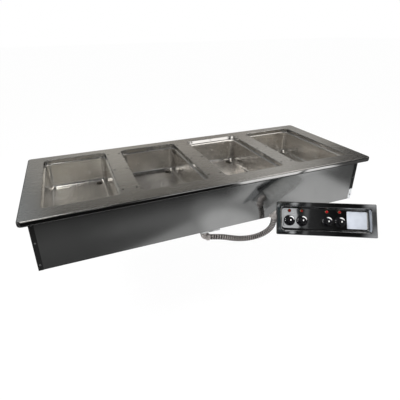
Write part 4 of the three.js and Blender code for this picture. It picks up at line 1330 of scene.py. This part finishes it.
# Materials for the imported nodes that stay


def dress_nodes():
    """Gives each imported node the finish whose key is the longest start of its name."""
    colours = settings().colours
    # Height of the ragged line on the right lap: painted shade above it, painted light below it
    shade_line_foot = -0.172
    case = rolled_steel("case_finish", colours.case, 0.125, UPRIGHT)
    lap = lapped_steel("lap_finish", colours.case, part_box("right_end_panel")[0].y, shade_line_foot)
    # The left end sheet is the case's steel darkened to 0.4: painted shade
    ends = rolled_steel("end_finish", shade(colours.case, 0.4)[:3], 0.2, UPRIGHT)
    zinc = zinc_coat("zinc_finish", colours.zinc)
    steel = rolled_steel("shaft_finish", colours.case, 0.25)
    casting = cast_zinc("locknut_finish", colours.zinc)
    brass = rolled_steel("drain_finish", colours.brass, 0.4)
    finishes = {
        "deck_gasket": black_rubber("gasket_finish", colours.rubber),
        "front_panel": case,
        "rear_panel": case,
        "left_end_panel": ends,
        "right_end_panel": lap,
        "bottom_panel": zinc,
        "support_rail": zinc,
        "element_tray": zinc,
        "junction_box": zinc,
        "control_box": zinc,
        "heating_element": heater_sheath("sheath_finish"),
        "drain": brass,
        "insulation_wrap": glass_wool("wool_finish", colours.wool),
        "bottom_insulation": glass_wool("board_finish", colours.wool),
        "case_elbow_locknut": casting,
        "panel_elbow_locknut": casting,
        "knob_shaft": steel,
        "switch": moulded_black("switch_finish", (0.03, 0.03, 0.032), 0.5),
        "instruction_plate": painted_plate("plate_finish", colours.plate),
    }
    for name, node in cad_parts.items():
        if node.hide_render:
            continue
        found = [key for key in finishes if name.startswith(key)]
        if not found:
            raise RuntimeError(f"no finish for {name}")
        material = finishes[max(found, key=len)]
        for slot in node.material_slots:
            slot.material = material


# Stage


def stage_plane(name, centre, across, up, width, height, material):
    """A flat rectangle for the stage, by its middle and two directions."""
    centre, across, up = (np.array(value, float) for value in (centre, across, up))
    across, up = across * width / 2, up * height / 2
    low, high = centre - up, centre + up
    points = np.array([low - across, low + across, high + across, high - across])
    mesh = bpy.data.meshes.new(name)
    mesh.from_pydata(points.tolist(), [], [(0, 1, 2, 3)])
    mesh.materials.append(material)
    plane = bpy.data.objects.new(name, mesh)
    bpy.context.scene.collection.objects.link(plane)
    return plane


def background_mask(finish):
    """1 for rays that show the background: camera, glossy and transmission rays."""
    path = finish.node("ShaderNodeLightPath").socket.node
    kinds = ("Camera", "Glossy", "Transmission")
    rays = [Value(finish, path.outputs[f"Is {kind} Ray"]) for kind in kinds]
    return rays[0].larger(rays[1]).larger(rays[2])


def make_floor():
    """A pale floor that shows as white, with a trace of the object's shadow."""
    surface = Surface("floor_finish")
    grain = surface.noise(surface.place(), 2.0, 2.0)
    pale = surface.blend(grain, (0.8, 0.8, 0.8, 1), (0.83, 0.83, 0.83, 1))
    surface.fill(Base_Color=pale, Roughness=0.9)
    body = Value(surface, surface.shader.outputs[0])
    glow = surface.node("ShaderNodeEmission", sockets={"Color": (1, 1, 1, 1), "Strength": 1.03})
    share = background_mask(surface) * 0.93
    mixed = surface.node("ShaderNodeMixShader", sockets={0: share, 1: body, 2: glow})
    surface.plug(surface.tree.nodes["Material Output"].inputs["Surface"], mixed)
    height, size = settings().camera.floor, 80.0
    stage_plane("floor", (0, 0, height), (1, 0, 0), (0, 1, 0), size, size, surface.material)


def make_world():
    """A white world: full where it shows, and less than half as lighting."""
    world = bpy.data.worlds.new("studio")
    world.use_nodes = True
    bpy.context.scene.world = world
    finish = Finish(world.node_tree)
    mask = background_mask(finish)
    background = world.node_tree.nodes["Background"]
    finish.plug(background.inputs["Color"], (1, 1, 1, 1))
    lighting, shown = 0.45, 1.0
    finish.plug(background.inputs["Strength"], lighting + mask * (shown - lighting))


def card(name, centre, across, up, width, height, paint):
    """A studio card that only shows in reflections. paint gives its glow from the place."""
    material = bpy.data.materials.new(name + "_finish")
    material.use_nodes = True
    finish = Finish(material.node_tree)
    material.node_tree.nodes.remove(material.node_tree.nodes["Principled BSDF"])
    colour = paint(finish, *finish.axes(finish.place()))
    glow = finish.node("ShaderNodeEmission", sockets={"Color": colour, "Strength": 1.0})
    finish.plug(material.node_tree.nodes["Material Output"].inputs["Surface"], glow)
    plane = stage_plane(name, centre, across, up, width, height, material)
    plane.visible_camera = False
    plane.visible_diffuse = False
    plane.visible_shadow = False
    plane.visible_transmission = False
    return plane


def ramp(finish, value, stops):
    """A colour that follows a value through its stops."""
    return finish.node("ShaderNodeValToRGB", {"stops": stops}, {"Fac": value})


def grey(level, warm=0.0):
    """A grey. warm is the share that red gains, and blue loses twice that."""
    return (level * (1.0 + warm), level, level * (1.0 - warm * 2.0))


def greys(levels, warm=0.0):
    """A ramp's stops, from pairs of place and grey level."""
    return [(place, grey(level, warm)) for place, level in levels]


def patch(across, up, middle, half, soft, degrees=0.0, square=False):
    """A soft mask on a card: 1 inside an ellipse, or a box, turned about its middle."""
    turn = math.radians(degrees)
    first, second = across - middle[0], up - middle[1]
    along = (first * math.cos(turn) + second * math.sin(turn)) * (1.0 / half[0])
    over = (second * math.cos(turn) - first * math.sin(turn)) * (1.0 / half[1])
    if square:
        far = along.size().larger(over.size())
    else:
        far = along.maths("SQRT", along * along + over * over)
    return 1.0 - far.between(1.0 - soft, 1.0 + soft)


def painted(finish, ground, *patches):
    """A card's colour: each patch is blended over the ground by its mask."""
    colour = ground
    for mask, level in patches:
        colour = finish.blend(mask, colour, (*level, 1.0))
    return colour


def back_paint(finish, x, y, z):
    """Seen in the deck: dark at its foot, light just above it and darker higher up, with a cool
    field at the left, a pale one toward the right and a small bright one high up."""
    levels = [
        (0.03, 0.06),
        (0.07, 0.78),
        (0.2, 0.78),
        (0.29, 0.66),
        (0.4, 0.49),
        (0.53, 0.33),
        (0.7, 0.17),
        (0.8, 0.06),
        (1.0, 0.03),
    ]
    return painted(
        finish,
        ramp(finish, (z - 1.0) / 1.4, greys(levels, 0.05)),
        (patch(x, z, (3.3, 2.0), (1.1, 0.9), 0.7), grey(0.58, 0.03)),
        (patch(x, z, (6.2, 2.0), (1.3, 1.5), 0.5), grey(0.05)),
        (patch(x, z, (-1.0, 0.9), (1.0, 0.55), 0.5), grey(0.40, 0.03)),
        (patch(x, z, (0.5, 1.3), (0.9, 0.2), 0.6), grey(0.88, 0.05)),
        (patch(x, z, (2.0, 1.19), (1.1, 0.12), 0.6), (0.68, 0.60, 0.55)),
        (patch(x, z, (3.7, 1.22), (0.6, 0.2), 0.5), grey(0.44, 0.03)),
        (patch(x, z, (-3.45, 2.6), (2.15, 1.5), 0.05, -3.0, True), (0.285, 0.305, 0.315)),
        (patch(x, z, (-1.75, 3.6), (0.3, 0.4), 0.12, 0.0, True), grey(2.0, 0.03)),
    )


def floor_paint(finish, x, y, z):
    """Seen in the case's front: dark on the left, with a pale wedge, a round pale patch, a
    slanting streak and a broad pale field toward the right. The last and brightest patch shows
    in the deck's nose."""
    levels = [
        (0.235, 0.004),
        (0.262, 0.052),
        (0.36, 0.060),
        (0.58, 0.085),
        (0.8, 0.07),
        (1.0, 0.05),
    ]
    return painted(
        finish,
        ramp(finish, y + 2.0, greys(levels)),
        (patch(x, y, (0.1, -1.42), (0.5, 0.12), 0.8), grey(0.16)),
        (patch(x, y, (0.21, -0.756), (2.0, 0.5), 0.03, -20.0, True), grey(0.38)),
        (patch(x, y, (0.56, -1.24), (0.30, 0.37), 0.10), grey(0.24)),
        (patch(x, y, (0.54, -1.15), (0.25, 0.25), 0.25), grey(0.56)),
        (patch(x, y, (2.3, -1.45), (1.05, 0.28), 0.10, -14.0, True), grey(0.55)),
        (patch(x, y, (1.08, -1.60), (0.38, 0.085), 0.5, -20.0), grey(0.50)),
        (patch(x, y, (1.18, -1.48), (0.30, 0.06), 0.6, -20.0), grey(0.13)),
        (patch(x, y, (2.75, -1.8), (0.78, 0.55), 0.12, 0.0, True), grey(0.09)),
        (patch(x, y, (1.66, -2.02), (0.64, 0.2), 0.06, 0.0, True), grey(1.3)),
    )


def wall_paint(finish, x, y, z):
    """Seen in the control panel: black, with a bright block, its two faint echoes, a second faint
    column and a grey right side. The four lights round it show in the pans."""
    ground = ramp(
        finish, x + 0.3, [(0.0, (0.02, 0.022, 0.022)), (0.2, grey(0.04)), (0.6, grey(0.010))]
    )
    lean = x - (z - 2.15) * 0.26
    second = 1.0 - (lean + 0.155).size().between(0.02, 0.06)
    levels = [(0.1, 0.48), (0.28, 0.30), (0.42, 0.11), (0.72, 0.10), (0.85, 0.35), (0.95, 0.62)]
    side = ramp(finish, (z - 1.5) * 1.5, greys(levels))
    panel_view = finish.blend(lean.between(0.68, 0.88), ground, side)
    return painted(
        finish,
        panel_view,
        (patch(x, z, (-0.64, 2.25), (0.05, 0.30), 0.1, 0.0, True), (0.05, 0.062, 0.065)),
        (patch(x, z, (-0.63, 2.50), (0.06, 0.022), 0.5), grey(0.5)),
        (patch(x, z, (-0.65, 2.02), (0.05, 0.022), 0.5), grey(0.22)),
        (second, grey(0.15)),
        (patch(x, z, (-0.43, 2.17), (0.128, 0.215), 0.05, 0.0, True), grey(0.78)),
        (patch(x, z, (-0.325, 2.47), (0.065, 0.06), 0.5), grey(0.55)),
        (patch(x, z, (-0.445, 1.89), (0.045, 0.05), 0.5), grey(0.68)),
        (patch(x, z, (-0.52, 2.86), (0.38, 0.25), 0.1, 0.0, True), grey(0.8, 0.05)),
        (patch(x, z, (3.0, 1.2), (0.8, 0.5), 0.4), grey(1.1, 0.05)),
        (patch(x, z, (-1.52, 2.9), (0.38, 0.85), 0.2, 0.0, True), grey(1.0, 0.03)),
        (patch(x, z, (1.3, 3.84), (0.32, 0.22), 0.8), grey(1.3, 0.03)),
        (x.between(3.6, 4.2), grey(0.05)),
    )


def over_paint(finish, x, y, z):
    """Overhead: dark above the middle, so that the deck's front edge stays dark there, with a
    bright light at the left, a softer one at the right and a dim field toward the rear."""
    left = patch(x, y, (-1.4, -0.15), (0.46, 1.05), 0.12, 0.0, True)
    right = x.between(2.3, 2.9) * (1.0 - x.between(3.9, 4.7)) * y.between(-2.8, -2.5)
    return painted(
        finish,
        (0.04, 0.04, 0.04, 1.0),
        (patch(x, y, (0.7, 2.6), (1.7, 1.1), 0.15, 0.0, True), grey(0.45, 0.03)),
        (left, (3.3, 3.25, 3.15)),
        (right, (1.5, 1.44, 1.38)),
    )


def left_paint(finish, x, y, z):
    """Dim at its foot and paler toward its top."""
    return ramp(finish, (z + 1.0) / 4.0, greys([(0.0, 0.05), (0.4, 0.12), (1.0, 0.25)]))


def right_paint(finish, x, y, z):
    """A pale grey, dimmer at its foot."""
    return ramp(finish, (z + 1.0) / 4.0, greys([(0.0, 0.15), (0.5, 0.25), (1.0, 0.25)]))


def strip_paint(finish, x, y, z):
    """Seen in the rear edge of the third opening alone: bright."""
    return finish.blend(x.between(0.32, 0.34), (1.7, 1.65, 1.6, 1.0), (0.1, 0.1, 0.1, 1.0))


def one_sided(plane):
    """Lets a card glow from its rear side alone."""
    finish = Finish(plane.data.materials[0].node_tree)
    output = finish.tree.nodes["Material Output"].inputs["Surface"]
    glow = Value(finish, output.links[0].from_socket)
    back = finish.node("ShaderNodeNewGeometry", out="Backfacing")
    clear = finish.node("ShaderNodeBsdfTransparent")
    finish.plug(output, finish.node("ShaderNodeMixShader", sockets={0: back, 1: clear, 2: glow}))


def make_cards():
    """Cards on the six sides of the room, and a small one at the third opening's rear edge."""
    low = settings().camera.floor + 0.03
    x, y, z = (ROOM_LEFT + ROOM_RIGHT) / 2, (ROOM_FRONT + ROOM_REAR) / 2, (low + ROOM_TOP) / 2
    width, depth, height = ROOM_RIGHT - ROOM_LEFT, ROOM_REAR - ROOM_FRONT, ROOM_TOP - low
    east, north, up = (1, 0, 0), (0, 1, 0), (0, 0, 1)
    one_sided(card("strip_card", (0.203, 0.2345, 0.0005), east, up, 0.27, 0.024, strip_paint))
    card("back_card", (x, ROOM_REAR, z), east, up, width, height, back_paint)
    card("front_card", (x, ROOM_FRONT, z), east, up, width, height, wall_paint)
    card("floor_card", (x, y, low), east, north, width, depth, floor_paint)
    card("over_card", (x, y, ROOM_TOP), east, north, width, depth, over_paint)
    card("left_card", (ROOM_LEFT, y, z), north, up, depth, height, left_paint)
    card("right_card", (ROOM_RIGHT, y, z), north, up, depth, height, right_paint)


def area_lamp(name, place, aim, size, power):
    """A soft lamp that aims at a place and shows in no reflection."""
    data = bpy.data.lights.new(name, "AREA")
    data.shape = "RECTANGLE"
    data.size, data.size_y = size
    data.energy = power
    lamp = bpy.data.objects.new(name, data)
    lamp.location = place
    lamp.rotation_euler = (Vector(aim) - Vector(place)).to_track_quat("-Z", "Y").to_euler()
    lamp.visible_glossy = False
    bpy.context.scene.collection.objects.link(lamp)


def make_lamps():
    """A key lamp from the upper left and a weaker fill from the front right."""
    area_lamp("key_lamp", (-2.4, -1.0, 3.0), (0, 0, 0), (1.6, 1.6), 190.0)
    area_lamp("fill_lamp", (3.0, -2.2, 2.4), (0.2, -0.2, 0), (2.4, 2.4), 60.0)


def make_camera():
    """The camera, from its settings, and a plain view transform."""
    values = settings().camera
    data = bpy.data.cameras.new("camera")
    data.lens = values.lens
    data.sensor_width = 36.0
    data.shift_x = values.shift_x
    data.shift_y = values.shift_y
    camera = bpy.data.objects.new("camera", data)
    camera.location = values.place
    camera.rotation_euler = values.turn
    bpy.context.scene.collection.objects.link(camera)
    bpy.context.scene.camera = camera
    bpy.context.scene.view_settings.view_transform = "Standard"


# Operators, the panel and registration


class FOODWELL_OT_camera(bpy.types.Operator):
    """Place the camera."""

    bl_idname = "food_well.camera"
    bl_label = "Camera"

    def execute(self, context):
        make_camera()
        return {"FINISHED"}


class FOODWELL_OT_conduit(bpy.types.Operator):
    """Wind the conduit along its route."""

    bl_idname = "food_well.conduit"
    bl_label = "Conduit"

    def execute(self, context):
        make_conduit()
        return {"FINISHED"}


class FOODWELL_OT_elbows(bpy.types.Operator):
    """Cast the conduit's two angle connectors."""

    bl_idname = "food_well.elbows"
    bl_label = "Elbows"

    def execute(self, context):
        make_elbows()
        return {"FINISHED"}


class FOODWELL_OT_deck(bpy.types.Operator):
    """Press the deck, with its locating bumps."""

    bl_idname = "food_well.deck"
    bl_label = "Deck"

    def execute(self, context):
        make_deck()
        make_bumps()
        return {"FINISHED"}


class FOODWELL_OT_wells(bpy.types.Operator):
    """Draw the four pans."""

    bl_idname = "food_well.wells"
    bl_label = "Wells"

    def execute(self, context):
        make_wells()
        return {"FINISHED"}


class FOODWELL_OT_fasteners(bpy.types.Operator):
    """Set the studs and the case's screws."""

    bl_idname = "food_well.fasteners"
    bl_label = "Fasteners"

    def execute(self, context):
        make_studs()
        make_lap_screws()
        return {"FINISHED"}


class FOODWELL_OT_panel(bpy.types.Operator):
    """Press the control panel."""

    bl_idname = "food_well.panel"
    bl_label = "Control panel"

    def execute(self, context):
        make_panel()
        return {"FINISHED"}


class FOODWELL_OT_knobs(bpy.types.Operator):
    """Mould the four knobs and print their marks."""

    bl_idname = "food_well.knobs"
    bl_label = "Knobs"

    def execute(self, context):
        make_knobs()
        return {"FINISHED"}


class FOODWELL_OT_lenses(bpy.types.Operator):
    """Fit the four pilot lights."""

    bl_idname = "food_well.lenses"
    bl_label = "Pilot lights"

    def execute(self, context):
        make_lenses()
        return {"FINISHED"}


class FOODWELL_OT_finishes(bpy.types.Operator):
    """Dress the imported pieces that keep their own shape."""

    bl_idname = "food_well.finishes"
    bl_label = "Finishes"

    def execute(self, context):
        dress_nodes()
        return {"FINISHED"}


class FOODWELL_OT_stage(bpy.types.Operator):
    """Set the floor, the world, the cards and the lamps."""

    bl_idname = "food_well.stage"
    bl_label = "Stage"

    def execute(self, context):
        make_floor()
        make_world()
        make_cards()
        make_lamps()
        return {"FINISHED"}


OPERATORS = (
    FOODWELL_OT_camera,
    FOODWELL_OT_conduit,
    FOODWELL_OT_elbows,
    FOODWELL_OT_deck,
    FOODWELL_OT_wells,
    FOODWELL_OT_fasteners,
    FOODWELL_OT_panel,
    FOODWELL_OT_knobs,
    FOODWELL_OT_lenses,
    FOODWELL_OT_finishes,
    FOODWELL_OT_stage,
)


class FOODWELL_PT_sidebar(bpy.types.Panel):
    """Lists the operators and the settings."""

    bl_idname = "FOODWELL_PT_sidebar"
    bl_label = "Food Well"
    bl_space_type = "VIEW_3D"
    bl_region_type = "UI"
    bl_category = "Food Well"

    def draw(self, context):
        column = self.layout.column()
        for made in OPERATORS:
            column.operator(made.bl_idname)
        values = settings()
        sizes = (values.deck, values.well, values.panel, values.conduit)
        for group in (*sizes, values.colours, values.camera):
            box = self.layout.box()
            for name in group.bl_rna.properties.keys():
                if name not in ("rna_type", "name"):
                    box.prop(group, name)


GROUPS = (
    DeckSizes,
    WellSizes,
    PanelSizes,
    ConduitSizes,
    FinishColours,
    CameraSizes,
    FoodWellSettings,
)
CLASSES = (*GROUPS, *OPERATORS, FOODWELL_PT_sidebar)


def register():
    for made in CLASSES:
        bpy.utils.register_class(made)
    bpy.types.Scene.food_well = PointerProperty(type=FoodWellSettings)


def unregister():
    del bpy.types.Scene.food_well
    for made in reversed(CLASSES):
        bpy.utils.unregister_class(made)


def main():
    """Runs every operator in turn."""
    register()
    for made in OPERATORS:
        group, name = made.bl_idname.split(".")
        getattr(getattr(bpy.ops, group), name)()


if __name__ == "__main__":
    main()
